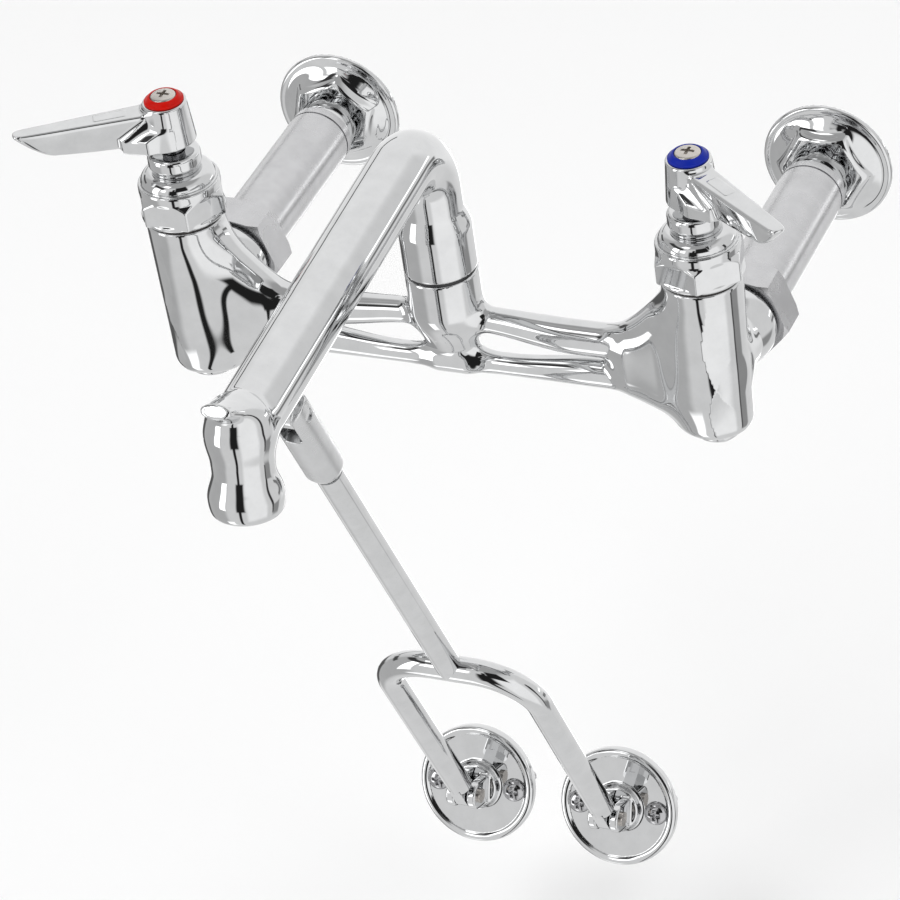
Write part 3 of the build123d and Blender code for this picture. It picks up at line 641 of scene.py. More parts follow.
# ------------------------------------------------------------------ pieces made again
@dataclass
class Casting:
    """Shared way to put a piece meshed from a field in the place of a node."""

    places: FramePlaces

    def shape(self, world: np.ndarray) -> np.ndarray:
        """Field of the piece in the part's frame."""
        raise NotImplementedError

    def register(self, shelf: FinishShelf, piece: bpy.types.Object, node: str, body: str,
                 finish: Finish, slot: str) -> None:
        """Dresses a piece, hangs it on its body and hides the node that it stands for.

        Args:
            shelf: The finishes.
            piece: The meshed piece.
            node: The frame's node that the piece stands for.
            body: The body that the piece rides on.
            finish: Its finish.
            slot: Not used.
        """
        shelf.dress(piece, finish)
        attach(piece, body)
        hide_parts(node)

    def settle_piece(self, shelf: FinishShelf, node: str, name: str, body: str, finish: Finish,
                     step: float, slot: str) -> None:
        """Meshes the field inside its own node's box, dresses it and puts it in place of the node.

        Args:
            shelf: The finishes.
            node: The frame's node that the piece stands for.
            name: The piece's name.
            body: The body that the piece rides on.
            finish: Its finish.
            step: Grid step in mm.
            slot: Passed on to register, which does not use it.
        """
        low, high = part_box(node)
        margin = np.array([1.5, 1.5, 1.5])
        piece = ImplicitMesher(step, relax=3).mesh(name, self.shape, tuple(np.array(low) / MM - margin),
                                                   tuple(np.array(high) / MM + margin))
        self.register(shelf, piece, node, body, finish, slot)


# ------------------------------------------------------------------ body casting
@dataclass
class BodyCasting(Casting):
    """The one piece body: two valve barrels, the double tube yoke, the post and the inlet horns."""

    barrel_top: float = 38.2
    barrel_bottom: float = -26.5
    barrel_top_r: float = 14.9
    barrel_bottom_r: float = 13.3
    barrel_edge: float = 4.2
    boss_r: float = 8.2
    boss_bottom: float = -30.1
    chamber_r: float = 11.2
    chamber_floor: float = 3.0
    seat_r: float = 7.5
    sump_r: float = 8.5
    sump_floor: float = -20.0
    web_bottom: float = -2.0
    upper_r: float = 4.9
    upper_z: float = 6.8
    lower_r: float = 4.2
    lower_z: float = -12.3
    belly_from: float = 12.0
    belly_run: float = 38.0
    belly: tuple[float, float] = (1.6, 2.9)
    rise_from: float = 22.0
    rise_run: float = 36.0
    rise: tuple[float, float] = (1.5, 1.7)
    flare_from: float = 42.0
    web_run: float = 14.0
    web_fillet: float = 16.0
    upper_horn: tuple[float, float, float] = (15.0, 11.2, 19.0)
    lower_horn: tuple[float, float, float] = (-13.5, 11.0, 12.6)
    post_r: float = 13.7
    post_top: float = 27.6
    post_bore_r: float = 8.6
    post_bore_floor: float = 1.0
    foot_half: tuple[float, float] = (9.6, 4.6)
    inlet_r: float = 16.2
    inlet_root_r: float = 12.4
    inlet_end: float = 107.6
    nipple_r: float = 14.0
    nipple_end: float = 97.5
    nipple_bore_r: float = 9.0
    step: float = 0.85

    def swell(self, p: np.ndarray) -> np.ndarray:
        """Growth of the yoke's section, from 0 on the plain tubes to 1 in a barrel."""
        start = self.places.valve_x - self.flare_from
        return ease((np.abs(p[:, 0]) - start) / (self.flare_from - 6.0)) ** 1.2

    def horn(self, p: np.ndarray, radius: np.ndarray | float, level: np.ndarray | float,
             wide: tuple[float, float, float]) -> np.ndarray:
        """Yoke tube whose section swells into both barrels.

        Args:
            p: Points about the post axis.
            radius: Radius of the plain tube.
            level: Height of the plain tube.
            wide: Height, half depth and half height of the section at a barrel.

        Returns:
            Distances to the tube.
        """
        reach = self.places.valve_x
        swell = self.swell(p)
        level_at = level + (wide[0] - level) * swell
        half_y = radius + (wide[1] - radius) * swell
        half_z = radius + (wide[2] - radius) * swell
        dy, dz = p[:, 1] / half_y, (p[:, 2] - level_at) / half_z
        ratio = np.sqrt(dy * dy + dz * dz)
        slope = np.sqrt((dy / half_y) ** 2 + (dz / half_z) ** 2) / np.maximum(ratio, 1e-6)
        side = (ratio - 1.0) / np.maximum(slope, 1e-6)
        return np.maximum(side, np.abs(p[:, 0]) - reach)

    def barrel(self, p: np.ndarray) -> np.ndarray:
        """Both barrels at once, since the body is alike on its two sides."""
        q = folded(p, self.places.valve_x)
        body = drum(q, self.barrel_bottom, self.barrel_top, self.barrel_bottom_r, self.barrel_top_r, 1.0)
        lower = drum(q, self.barrel_bottom, self.barrel_top, self.barrel_bottom_r, self.barrel_top_r,
                     self.barrel_edge)
        body = np.where(q[:, 2] < 0.0, lower, body)
        boss = drum(q, self.boss_bottom, 0.0, self.boss_r, self.boss_r, 1.2)
        return blend_min(body, boss, 1.6)

    def inlet(self, p: np.ndarray) -> np.ndarray:
        """Both inlet horns and their nipples, which lead back towards the wall."""
        q = folded(p, self.places.valve_x)
        end = -self.places.post_y - self.inlet_end
        horn = radial(q, 0, 2) - profile(q[:, 1], ((8.0, self.inlet_root_r), (end - 2.0, self.inlet_r)))
        horn = blend_max(horn, np.maximum(-q[:, 1], q[:, 1] - end), 1.2)
        nipple_end = -self.places.post_y - self.nipple_end
        nipple = drum(q, 5.0, nipple_end, self.nipple_r, self.nipple_r, 0.8, axis=1)
        return np.minimum(horn, nipple)

    def post(self, p: np.ndarray) -> np.ndarray:
        """Post that carries the spout, drawn in to the lower tube."""
        draw = ease((p[:, 2] - self.lower_z) / (self.upper_z + 6.0 - self.lower_z))
        half_x = self.foot_half[0] + (self.post_r - self.foot_half[0]) * draw
        half_y = self.foot_half[1] + (self.post_r - self.foot_half[1]) * draw
        ratio = np.hypot(p[:, 0] / half_x, p[:, 1] / half_y)
        side = (ratio - 1.0) * np.minimum(half_x, half_y)
        foot = capsule(p, np.array([-5.0, 0.0, self.lower_z]), np.array([5.0, 0.0, self.lower_z]), 4.7, 4.7)
        column = blend_max(side, np.maximum(p[:, 2] - self.post_top, self.lower_z - p[:, 2]), 0.7)
        return blend_min(column, foot, 2.0)

    def hollows(self, p: np.ndarray) -> np.ndarray:
        """Chambers, seats, sumps, inlet bores and the post's bore."""
        q = folded(p, self.places.valve_x)
        cut = drum(q, self.chamber_floor, FAR_MM, self.chamber_r, self.chamber_r, 0.3)
        seat = drum(q, self.web_bottom - 1.0, self.chamber_floor + 1.0, self.seat_r, self.seat_r, 0.2)
        cut = np.minimum(cut, seat)
        cut = np.minimum(cut, drum(q, self.sump_floor, self.web_bottom, self.sump_r, self.sump_r, 0.3))
        cut = np.minimum(cut, drum(q, 19.5, FAR_MM, self.nipple_bore_r, self.nipple_bore_r, 0.3, axis=1))
        return np.minimum(cut, drum(p, self.post_bore_floor, FAR_MM, self.post_bore_r, self.post_bore_r, 0.3))

    def shape(self, world: np.ndarray) -> np.ndarray:
        """Field of the whole casting in the part's frame."""
        p = world - np.array([0.0, self.places.post_y, 0.0])
        belly = ease((np.abs(p[:, 0]) - self.belly_from) / self.belly_run)
        upper = self.horn(p, self.upper_r + self.belly[0] * belly, self.upper_z - self.belly[1] * belly,
                          self.upper_horn)
        rise = ease((np.abs(p[:, 0]) - self.rise_from) / self.rise_run)
        lower = self.horn(p, self.lower_r + self.rise[0] * rise, self.lower_z + self.rise[1] * rise,
                          self.lower_horn)
        near = ease((np.abs(p[:, 0]) - self.places.valve_x + self.flare_from + 2.0) / self.web_run)
        yoke = blend_min(upper, lower, 3.0 + self.web_fillet * near)
        solid = blend_min(yoke, self.post(p), 5.0)
        solid = blend_min(solid, self.barrel(p), 7.0)
        solid = blend_min(solid, self.inlet(p), 4.0)
        top = np.where(np.abs(p[:, 0]) > self.places.valve_x / 2, self.barrel_top, self.post_top)
        solid = np.maximum(solid, p[:, 2] - top)
        return np.maximum(solid, -self.hollows(p))

    def build(self, shelf: FinishShelf) -> None:
        """Meshes the casting and puts it in place of the plain node."""
        reach, y = self.places.valve_x + 20.0, self.places.post_y
        mesher = ImplicitMesher(self.step)
        piece = mesher.mesh("faucet_body", self.shape, (-reach, y - 19.0, self.boss_bottom - 2.0),
                            (reach, y + 40.0, self.barrel_top + 2.0))
        self.register(shelf, piece, "body_casting", "root", CHROME, "polished_chrome")


# ------------------------------------------------------------------ spout
@dataclass
class Spout(Casting):
    """The cast spout: skirt, bend, arm, bulb outlet, pail hook and brace lug."""

    tube_r: float = 11.6
    bore_r: float = 8.2
    skirt_r: float = 13.7
    skirt_bottom: float = 28.8
    skirt_top: float = 45.5
    shoulder: float = 54.5
    arm_z: float = 84.6
    arm_drop: float = math.radians(4.6)
    bend_r: float = 21.0
    outlet_reach: float = 164.5
    outlet_tilt: float = math.radians(8.0)
    outlet_bottom: float = 41.0
    outlet_bore_r: float = 8.3
    elbow_r: float = 11.7
    nozzle: tuple[tuple[float, float], ...] = ((-23.5, 13.2), (-14.0, 10.9), (-2.0, 11.5))
    lip_r: float = 11.0
    socket_r: float = 9.7
    socket_top: float = 50.4
    hook_tip: tuple[float, float] = (13.8, 17.9)
    hook_lift: float = math.radians(33.0)
    hook_len: float = 18.0
    hook_fan: float = 3.0
    hook_half_w: float = 5.6
    hook_half_t: float = 2.8
    lug_half: float = 3.0
    lug_r: float = 5.6
    step: float = 0.8

    def arm_height(self, out: float) -> float:
        """Height of the arm's axis at a distance in front of the post axis."""
        return self.arm_z - out * math.tan(self.arm_drop)

    def centreline(self, p: np.ndarray) -> np.ndarray:
        """Distance from the line that runs up the post, round the bend and out along the arm."""
        y, z = p[:, 1], p[:, 2]
        turn = math.pi / 2 + self.arm_drop
        centre_y = -self.bend_r
        tangent = self.bend_r * math.tan(turn / 2)
        centre_z = self.arm_z - tangent
        dy, dz = y - centre_y, z - centre_z
        angle = np.arctan2(dz, dy)
        on_arc = np.hypot(np.hypot(dy, dz) - self.bend_r, p[:, 0])
        rise = np.hypot(np.hypot(p[:, 0], y), np.maximum(self.skirt_bottom - z, 0.0))
        run = np.array([-math.cos(self.arm_drop), -math.sin(self.arm_drop)])
        start = np.array([run[0] * tangent, self.arm_z + run[1] * tangent])
        length = (self.outlet_reach - tangent * math.cos(self.arm_drop)) / math.cos(self.arm_drop)
        t = np.clip((y - start[0]) * run[0] + (z - start[1]) * run[1], 0.0, length)
        along = np.sqrt((y - start[0] - t * run[0]) ** 2 + (z - start[1] - t * run[1]) ** 2 + p[:, 0] ** 2)
        on_arc = np.where((angle >= 0.0) & (angle <= turn), on_arc, NEVER_MM)
        rise = np.where(z <= centre_z, rise, NEVER_MM)
        return np.minimum(np.minimum(on_arc, rise), along)

    def outlet_frame(self, p: np.ndarray) -> np.ndarray:
        """Points in the tilted frame of the outlet, with its origin on the arm's axis."""
        y = p[:, 1] + self.outlet_reach
        z = p[:, 2] - self.arm_height(self.outlet_reach)
        c, s = math.cos(self.outlet_tilt), math.sin(self.outlet_tilt)
        return np.stack([p[:, 0], y * c - z * s, y * s + z * c], axis=1)

    def outlet(self, p: np.ndarray) -> np.ndarray:
        """Bulb shaped outlet under a round elbow."""
        q = self.outlet_frame(p)
        bottom = self.outlet_bottom - self.arm_height(self.outlet_reach)
        bulb_z, bulb_r = self.nozzle[0]
        below = np.clip((bulb_z - q[:, 2]) / (bulb_z - bottom), 0.0, 1.0)
        tuck = (bulb_r - self.lip_r) * (1.0 - np.sqrt(1.0 - below ** 2))
        side = (radial(q, 0, 1) - profile(q[:, 2], self.nozzle) + tuck) * 0.8
        body = blend_max(side, bottom - q[:, 2], 2.2)
        cap = np.sqrt((q ** 2).sum(axis=1)) - self.elbow_r
        return np.where(q[:, 2] > 0.0, cap, body)

    def hook(self, p: np.ndarray) -> np.ndarray:
        """Short flat tongue that rises forward from the top of the outlet."""
        c, t = math.cos(self.hook_lift), math.sin(self.hook_lift)
        y = p[:, 1] + self.outlet_reach + self.hook_tip[0]
        z = p[:, 2] - self.arm_height(self.outlet_reach) - self.hook_tip[1]
        back, over = y * c - z * t, y * t + z * c
        fan = ease(back / self.hook_len)
        half_w = self.hook_half_w + self.hook_fan * fan
        half_t = self.hook_half_t + 2.2 * fan
        ratio = np.sqrt((p[:, 0] / half_w) ** 2 + (over / half_t) ** 2)
        side = (ratio - 1.0) * np.minimum(half_w, half_t)
        return blend_max(side, np.maximum(-back, back - self.hook_len), 1.0)

    def lug(self, p: np.ndarray) -> np.ndarray:
        """Flat lug that the brace's pin passes through."""
        y = p[:, 1] - (self.places.pin_y - self.places.post_y)
        z = p[:, 2] - self.places.pin_z
        plate = np.hypot(y, np.minimum(z, 0.0)) - self.lug_r
        plate = np.maximum(plate, z - 18.0)
        return blend_max(plate, np.abs(p[:, 0]) - self.lug_half, 1.0)

    def hollow(self, p: np.ndarray) -> np.ndarray:
        """Waterway, the socket over the swivel stem and the outlet's bore."""
        line = self.centreline(p) - self.bore_r
        socket = drum(p, 0.0, self.socket_top, self.socket_r, self.socket_r, 0.3)
        q = self.outlet_frame(p)
        bore = drum(q, -60.0, 0.0, self.outlet_bore_r, self.outlet_bore_r, 0.3)
        return np.minimum(np.minimum(line, socket), bore)

    def shape(self, world: np.ndarray) -> np.ndarray:
        """Field of the spout in the part's frame."""
        p = world - np.array([0.0, self.places.post_y, 0.0])
        line = self.centreline(p)
        tube = line - self.tube_r
        skirt_r = profile(p[:, 2], ((self.skirt_top, self.skirt_r), (self.shoulder, self.tube_r)))
        skirt = blend_max(radial(p, 0, 1) - skirt_r,
                          np.maximum(self.skirt_bottom - p[:, 2], p[:, 2] - self.shoulder - 2.0), 0.8)
        solid = np.minimum(np.where(p[:, 2] < self.shoulder, NEVER_MM, tube), skirt)
        solid = blend_min(solid, self.outlet(p), 3.0)
        solid = blend_min(solid, self.hook(p), 4.5)
        solid = blend_min(solid, self.lug(p), 1.4)
        return np.maximum(solid, -self.hollow(p))

    def build(self, shelf: FinishShelf) -> None:
        """Meshes the spout and puts it in place of the plain node."""
        y = self.places.post_y
        mesher = ImplicitMesher(self.step)
        piece = mesher.mesh("faucet_spout", self.shape, (-16.0, y - 184.0, self.skirt_bottom - 2.0),
                            (16.0, y + 16.0, 103.0))
        self.register(shelf, piece, "spout", "spout_arm", CHROME, "polished_chrome")


# ------------------------------------------------------------------ levers
class Side(Enum):
    """The two valves: body name and the lever's direction from +X in degrees."""

    HOT = ("hot", -1.0, 211.0)
    COLD = ("cold", 1.0, -37.0)

    def __init__(self, label: str, sign: float, bearing: float) -> None:
        """Keeps the label, the side along X and the lever's bearing."""
        self.label = label
        self.sign = sign
        self.bearing = math.radians(bearing)

    def pick(self, pair: tuple[float, float]) -> float:
        """The hot or the cold value of a pair."""
        return pair[0 if self is Side.HOT else 1]


@dataclass
class ValvePiece(Casting):
    """A piece that each of the two valves has."""

    side: Side

    def about_axis(self, world: np.ndarray, height: float = 0.0) -> np.ndarray:
        """Points about the valve's upright axis, counted from a height."""
        return world - np.array([self.side.sign * self.places.valve_x, self.places.post_y, height])


@dataclass
class Lever(ValvePiece):
    """A cast lever handle: hub, flat sided skirt and a deep blade."""

    hub_top_r: float = 8.3
    hub_bottom_r: float = 9.6
    skirt_half: float = 8.9
    skirt_nose: float = 9.4
    skirt_end: float = 18.0
    nose_angle: float = math.radians(28.0)
    shelf_rise: float = 5.6
    shelf_slope: float = 0.75
    shelf_fillet: float = 4.2
    blade_len: float = 57.0
    blade_top: float = 85.2
    root_half: float = 5.4
    tip_half: float = 3.3
    belly_half: float = 1.5
    heel: float = 70.6
    belly: tuple[float, float] = (42.0, 73.4)
    bore_r: float = 4.2
    bore_top: float = 80.0
    screw_r: float = 2.0
    pad: tuple[float, float, float, float] = (20.5, 6.0, 2.2, 0.2)
    step: float = 0.42

    def blade(self, p: np.ndarray) -> np.ndarray:
        """Blade with a flat top, wedge sides and a belly that turns up to the tip."""
        x, y, z = p[:, 0], np.abs(p[:, 1]), p[:, 2]
        belly_x, belly_z = self.belly
        sweep = np.clip((x - belly_x) / (self.blade_len - belly_x), 0.0, 1.2)
        keel = self.heel + (belly_z - self.heel) * np.clip(x / belly_x, 0.0, 1.0) ** 2
        keel = keel + (self.blade_top - 0.6 - belly_z) * sweep ** 1.6
        top_half = self.root_half + (self.tip_half - self.root_half) * np.clip(x / self.blade_len, 0.0, 1.0)
        share = np.clip((z - keel) / np.maximum(self.blade_top - keel, 0.5), 0.0, 1.0)
        half = self.belly_half + (top_half - self.belly_half) * share ** 0.7
        body = blend_max(y - half, keel - z, 1.6)
        body = blend_max(body, z - self.blade_top, 1.6)
        nose = np.hypot(x - (self.blade_len - self.tip_half), y) - self.tip_half
        nose = np.where(x > self.blade_len - self.tip_half, nose, x - self.blade_len)
        return np.maximum(blend_max(body, nose, 1.2), -x)

    def skirt(self, p: np.ndarray) -> np.ndarray:
        """Flat sided block round the hub's foot, with a nose under the blade and a coned top."""
        y = np.abs(p[:, 1])
        nose = (p[:, 0] - self.skirt_nose) * math.sin(self.nose_angle)
        nose = nose + (y - self.skirt_half) * math.cos(self.nose_angle)
        plan = blend_max(y - self.skirt_half, nose, 0.5)
        plan = np.maximum(plan, np.maximum(-p[:, 0] - 1.0, p[:, 0] - self.skirt_end))
        reach = math.hypot(self.skirt_nose, self.skirt_half)
        spread = self.root_half + (self.tip_half - self.root_half) * p[:, 0] / self.blade_len
        near = np.clip((y - spread) / self.shelf_fillet, 0.0, 1.0)
        rise = self.shelf_fillet * (1.0 - np.sqrt(1.0 - (1.0 - near) ** 2))
        cone = p[:, 2] - self.heel - self.shelf_rise - self.shelf_slope * (reach - radial(p, 0, 1)) - rise
        cone = cone / math.hypot(1.0, self.shelf_slope)
        return blend_max(blend_max(plan, self.heel - p[:, 2], 0.5), cone, 0.5)

    def raised_pad(self, p: np.ndarray) -> np.ndarray:
        """Low plain pad on top of the blade."""
        centre, half_x, half_y, rise = self.pad
        sides = blend_max(np.abs(p[:, 0] - centre) - half_x, np.abs(p[:, 1]) - half_y, 1.0)
        return blend_max(sides, np.abs(p[:, 2] - self.blade_top) - rise, 0.3)

    def local(self, p: np.ndarray) -> np.ndarray:
        """Field of the lever about its own axis, blade along +X."""
        hub = drum(p, self.heel, self.places.lever_top, self.hub_bottom_r, self.hub_top_r, 0.9)
        solid = blend_min(hub, self.skirt(p), 1.0)
        solid = blend_min(solid, self.blade(p), 2.0)
        solid = blend_min(solid, self.raised_pad(p), 0.4)
        bore = drum(p, 0.0, self.bore_top, self.bore_r, self.bore_r, 0.2)
        screw = drum(p, 0.0, 120.0, self.screw_r, self.screw_r, 0.2)
        return np.maximum(solid, -np.minimum(bore, screw))

    def shape(self, world: np.ndarray) -> np.ndarray:
        """Field of the lever in the part's frame."""
        x, y, z = self.about_axis(world).T
        c, s = math.cos(self.side.bearing), math.sin(self.side.bearing)
        return self.local(np.stack([x * c + y * s, y * c - x * s, z], axis=1))

    def build(self, shelf: FinishShelf) -> None:
        """Meshes the lever and puts it in place of the plain node."""
        label = self.side.label
        low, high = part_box(f"{label}_lever")
        margin = np.array([2.0, 2.0, 1.5])
        mesher = ImplicitMesher(self.step)
        piece = mesher.mesh(f"{label}_lever_handle", self.shape,
                            tuple(np.array(low) / MM - margin), tuple(np.array(high) / MM + margin))
        self.register(shelf, piece, f"{label}_lever", f"{label}_handle", CHROME, "polished_chrome")


# ------------------------------------------------------------------ turned and milled pieces
@dataclass
class Bonnet(ValvePiece):
    """Hex bonnet with a bead at its foot, a beaded shoulder and a round dome."""

    across_flats: float = 30.2
    corner_turn: tuple[float, float] = (0.0, -15.0)
    foot: float = 39.6
    bead_top: float = 41.5
    bead_r: float = 15.9
    chamfer_from: float = 48.3
    shoulder: tuple[float, float] = (50.4, 54.5)
    shoulder_r: float = 15.5
    dome_ring: tuple[float, float, float] = (9.3, 53.9, 4.9)
    neck_r: float = 8.4
    neck_top: float = 64.2
    tail: float = 24.0
    tail_r: float = 11.2
    chamber: tuple[float, float] = (48.0, 7.55)
    spindle_hole_r: float = 4.3
    packing_box: tuple[float, float] = (60.6, 6.4)

    def shape(self, world: np.ndarray) -> np.ndarray:
        """Field of the bonnet in the part's frame."""
        q = self.about_axis(world)
        r, z = radial(q, 0, 1), q[:, 2]
        turn = math.radians(self.side.pick(self.corner_turn))
        flats = hexagon(q, self.across_flats, turn, 0.5)
        flats = blend_max(flats, np.maximum(self.foot + 0.8 - z, z - self.shoulder[1] + 1.0), 0.5)
        chamfer = (r - (self.across_flats / math.sqrt(3.0) - (z - self.chamfer_from) * 0.9)) / 1.35
        solid = blend_max(flats, chamfer, 0.5)
        bead = drum(q, self.foot, self.bead_top, self.bead_r, self.bead_r, 0.9)
        solid = blend_min(solid, bead, 0.7)
        low, high = self.shoulder
        solid = blend_min(solid, drum(q, low, high, self.shoulder_r, self.shoulder_r - 0.2, 1.4), 0.8)
        ring_r, ring_z, ring_t = self.dome_ring
        dome = np.hypot(np.maximum(r - ring_r, 0.0), z - ring_z) - ring_t
        groove = np.hypot(r - ring_r - ring_t - 0.3, z - high) - 0.55
        solid = np.maximum(np.minimum(solid, dome), -groove)
        solid = np.minimum(solid, drum(q, ring_z, self.neck_top, self.neck_r, self.neck_r, 0.4))
        solid = np.minimum(solid, drum(q, self.tail, self.foot + 1.0, self.tail_r, self.tail_r, 0.4))
        chamber_top, chamber_r = self.chamber
        box_floor, box_r = self.packing_box
        bore = drum(q, 0.0, chamber_top, chamber_r, chamber_r, 0.2)
        bore = np.minimum(bore, drum(q, 40.0, 90.0, self.spindle_hole_r, self.spindle_hole_r, 0.2))
        return np.maximum(solid, -np.minimum(bore, drum(q, box_floor, 90.0, box_r, box_r, 0.2)))

    def build(self, shelf: FinishShelf) -> None:
        """Meshes the bonnet."""
        label = self.side.label
        self.settle_piece(shelf, f"{label}_bonnet", f"{label}_bonnet_turned", "root", TURNED_CHROME,
                          0.42, "polished_chrome")


@dataclass
class PackingNut(ValvePiece):
    """Round packing nut with a soft top edge and an undercut foot."""

    radius: float = 10.1
    foot: float = 58.8
    skirt: float = 60.1
    top: float = 66.4
    pocket: tuple[float, float] = (64.2, 8.4)
    spindle_hole_r: float = 4.6

    def shape(self, world: np.ndarray) -> np.ndarray:
        """Field of the nut in the part's frame."""
        q = self.about_axis(world)
        solid = drum(q, self.skirt, self.top, self.radius, self.radius - 0.2, 2.2)
        foot_r = self.radius - 0.9
        solid = blend_min(solid, drum(q, self.foot, self.top - 3.0, foot_r, foot_r, 0.4), 0.5)
        pocket_top, pocket_r = self.pocket
        pocket = drum(q, 40.0, pocket_top, pocket_r, pocket_r, 0.2)
        bore = np.minimum(pocket, drum(q, 40.0, 90.0, self.spindle_hole_r, self.spindle_hole_r, 0.5))
        return np.maximum(solid, -bore)

    def build(self, shelf: FinishShelf) -> None:
        """Meshes the nut."""
        label = self.side.label
        self.settle_piece(shelf, f"{label}_packing_nut", f"{label}_packing_nut_turned", "root",
                          TURNED_CHROME, 0.35, "polished_chrome")


@dataclass
class IndexRing(ValvePiece):
    """Bevelled colour ring under the head of the lever screw."""

    foot_r: float = 7.4
    top_r: float = 5.6
    step_h: float = 0.8
    height: float = 2.3
    seat_r: float = 4.95
    seat_h: float = 0.6
    hole_r: float = 2.05

    def shape(self, world: np.ndarray) -> np.ndarray:
        """Field of the ring in the part's frame."""
        q = self.about_axis(world, self.places.lever_top)
        solid = drum(q, 0.0, self.step_h, self.foot_r, self.foot_r, 0.4)
        bevel = drum(q, self.step_h - 0.4, self.height, self.foot_r - 0.2, self.top_r, 0.5)
        solid = blend_min(solid, bevel, 0.2)
        seat = drum(q, self.seat_h, 9.0, self.seat_r, self.seat_r, 0.1)
        return np.maximum(solid, -np.minimum(seat, drum(q, -5.0, 9.0, self.hole_r, self.hole_r, 0.1)))

    def build(self, shelf: FinishShelf) -> None:
        """Meshes the ring."""
        label, hot = self.side.label, self.side is Side.HOT
        self.settle_piece(shelf, f"{label}_index_ring", f"{label}_colour_ring", f"{label}_handle",
                          RED if hot else BLUE, 0.2, "red_plastic" if hot else "blue_plastic")


@dataclass
class LeverScrew(ValvePiece):
    """Cross recessed screw that clamps the lever."""

    head_r: float = 4.9
    head_h: float = 2.5
    seat: float = 0.6
    shank_r: float = 2.0
    shank_end: float = 72.0

    def shape(self, world: np.ndarray) -> np.ndarray:
        """Field of the screw in the part's frame."""
        base = self.places.lever_top + self.seat
        q = self.about_axis(world)
        crown = np.sqrt(radial(q, 0, 1) ** 2 + (q[:, 2] - base - self.head_h + 17.0) ** 2) - 17.0
        head = blend_max(drum(q, base, base + 5.0, self.head_r, self.head_r, 0.3), crown, 0.9)
        head = np.maximum(head, -cross_recess(q, base + self.head_h, 4.8, 1.15, 1.5))
        return np.minimum(head, drum(q, self.shank_end, base + 0.5, self.shank_r, self.shank_r, 0.3))

    def build(self, shelf: FinishShelf) -> None:
        """Meshes the screw."""
        label = self.side.label
        self.settle_piece(shelf, f"{label}_lever_screw", f"{label}_screw", f"{label}_handle", STEEL,
                          0.22, "bright_steel")


@dataclass
class WallFlange(ValvePiece):
    """Dished wall flange with a domed hex, a hex pocket and a neck."""

    radius: float = 25.4
    rim: float = 2.3
    dish: float = 5.8
    dish_from: float = 23.2
    dish_to: float = 15.5
    across_flats: float = 31.4
    hex_top: float = 9.8
    pocket_flats: float = 27.2
    pocket_floor: float = 4.6
    hex_turn: tuple[float, float] = (19.0, -1.0)
    neck_r: float = 11.9
    neck_end: float = 19.0
    spigot_r: float = 10.9
    spigot_end: float = 27.0
    dome_r: float = 26.2
    dome_centre: float = -12.5
    thread: tuple[float, float] = (15.0, 10.3)
    bore_r: float = 8.0

    def shape(self, world: np.ndarray) -> np.ndarray:
        """Field of the flange in the part's frame."""
        x = world[:, 0] - self.side.sign * self.places.valve_x
        q = np.stack([x, world[:, 2], -world[:, 1]], axis=1)
        r, h = radial(q, 0, 1), q[:, 2]
        turn = math.radians(self.side.pick(self.hex_turn))
        inward = ease((self.dish_from - r) / (self.dish_from - self.dish_to))
        face = self.rim + (self.dish - self.rim) * inward
        solid = blend_max((h - face) * 0.85, r - self.radius, 1.6)
        solid = np.maximum(solid, -h)
        flats = hexagon(q, self.across_flats, turn, 1.2)
        dome = np.sqrt(r ** 2 + (h - self.dome_centre) ** 2) - self.dome_r
        boss = blend_max(blend_max(flats, h - self.hex_top, 1.0), dome, 1.2)
        solid = np.maximum(blend_min(solid, np.maximum(boss, 1.0 - h), 2.4), -h)
        pocket = blend_max(hexagon(q, self.pocket_flats, turn, 0.8), self.pocket_floor - h, 1.0)
        solid = blend_max(solid, -pocket, 0.7)
        solid = blend_min(solid, drum(q, 1.0, self.neck_end, self.neck_r, self.neck_r, 0.5), 0.8)
        solid = np.minimum(solid, drum(q, 1.0, self.spigot_end, self.spigot_r, self.spigot_r, 0.4))
        thread_end, thread_r = self.thread
        thread = drum(q, -9.0, thread_end, thread_r, thread_r, 0.3)
        return np.maximum(solid, -np.minimum(thread, drum(q, -9.0, FAR_MM, self.bore_r, self.bore_r, 0.3)))

    def build(self, shelf: FinishShelf) -> None:
        """Meshes the flange."""
        label = self.side.label
        self.settle_piece(shelf, f"{label}_wall_flange", f"{label}_flange", "root", TURNED_CHROME,
                          0.5, "polished_chrome")


@dataclass
class BraceClevis(Casting):
    """Slotted socket with a rounded end over the spout's lug."""

    radius: float = 7.25
    length: float = 40.5
    mouth: float = 3.2
    mouth_r: float = 6.05
    slot_w: float = 6.8
    slot_depth: float = 9.0
    pin_r: float = 2.4
    rod_r: float = 5.15
    rod_entry: float = 12.0
    angle: float = -154.5

    def shape(self, world: np.ndarray) -> np.ndarray:
        """Field of the clevis in the part's frame."""
        q = tilted(world, np.array([0.0, self.places.pin_y, self.places.pin_z]), self.angle)
        z = q[:, 2]
        past = np.clip((z - self.length + self.mouth) / self.mouth, 0.0, 1.0)
        taper = self.radius - (self.radius - self.mouth_r) * past
        solid = blend_max(radial(q, 0, 1) - taper, z - self.length, 0.6)
        nose = np.hypot(q[:, 1], np.minimum(z, 0.0)) - self.radius
        solid = blend_max(solid, nose, 0.9)
        slot = blend_max(np.abs(q[:, 0]) - self.slot_w / 2, z - self.slot_depth, 1.2)
        hole = np.hypot(q[:, 1], z) - self.pin_r
        cut = np.minimum(slot, hole)
        cut = np.minimum(cut, drum(q, self.length - self.rod_entry, 90.0, self.rod_r, self.rod_r, 0.2))
        return blend_max(solid, -cut, 0.5)

    def build(self, shelf: FinishShelf) -> None:
        """Meshes the clevis."""
        self.settle_piece(shelf, "brace_clevis", "clevis_socket", "brace", BRUSHED, 0.38, "polished_chrome")


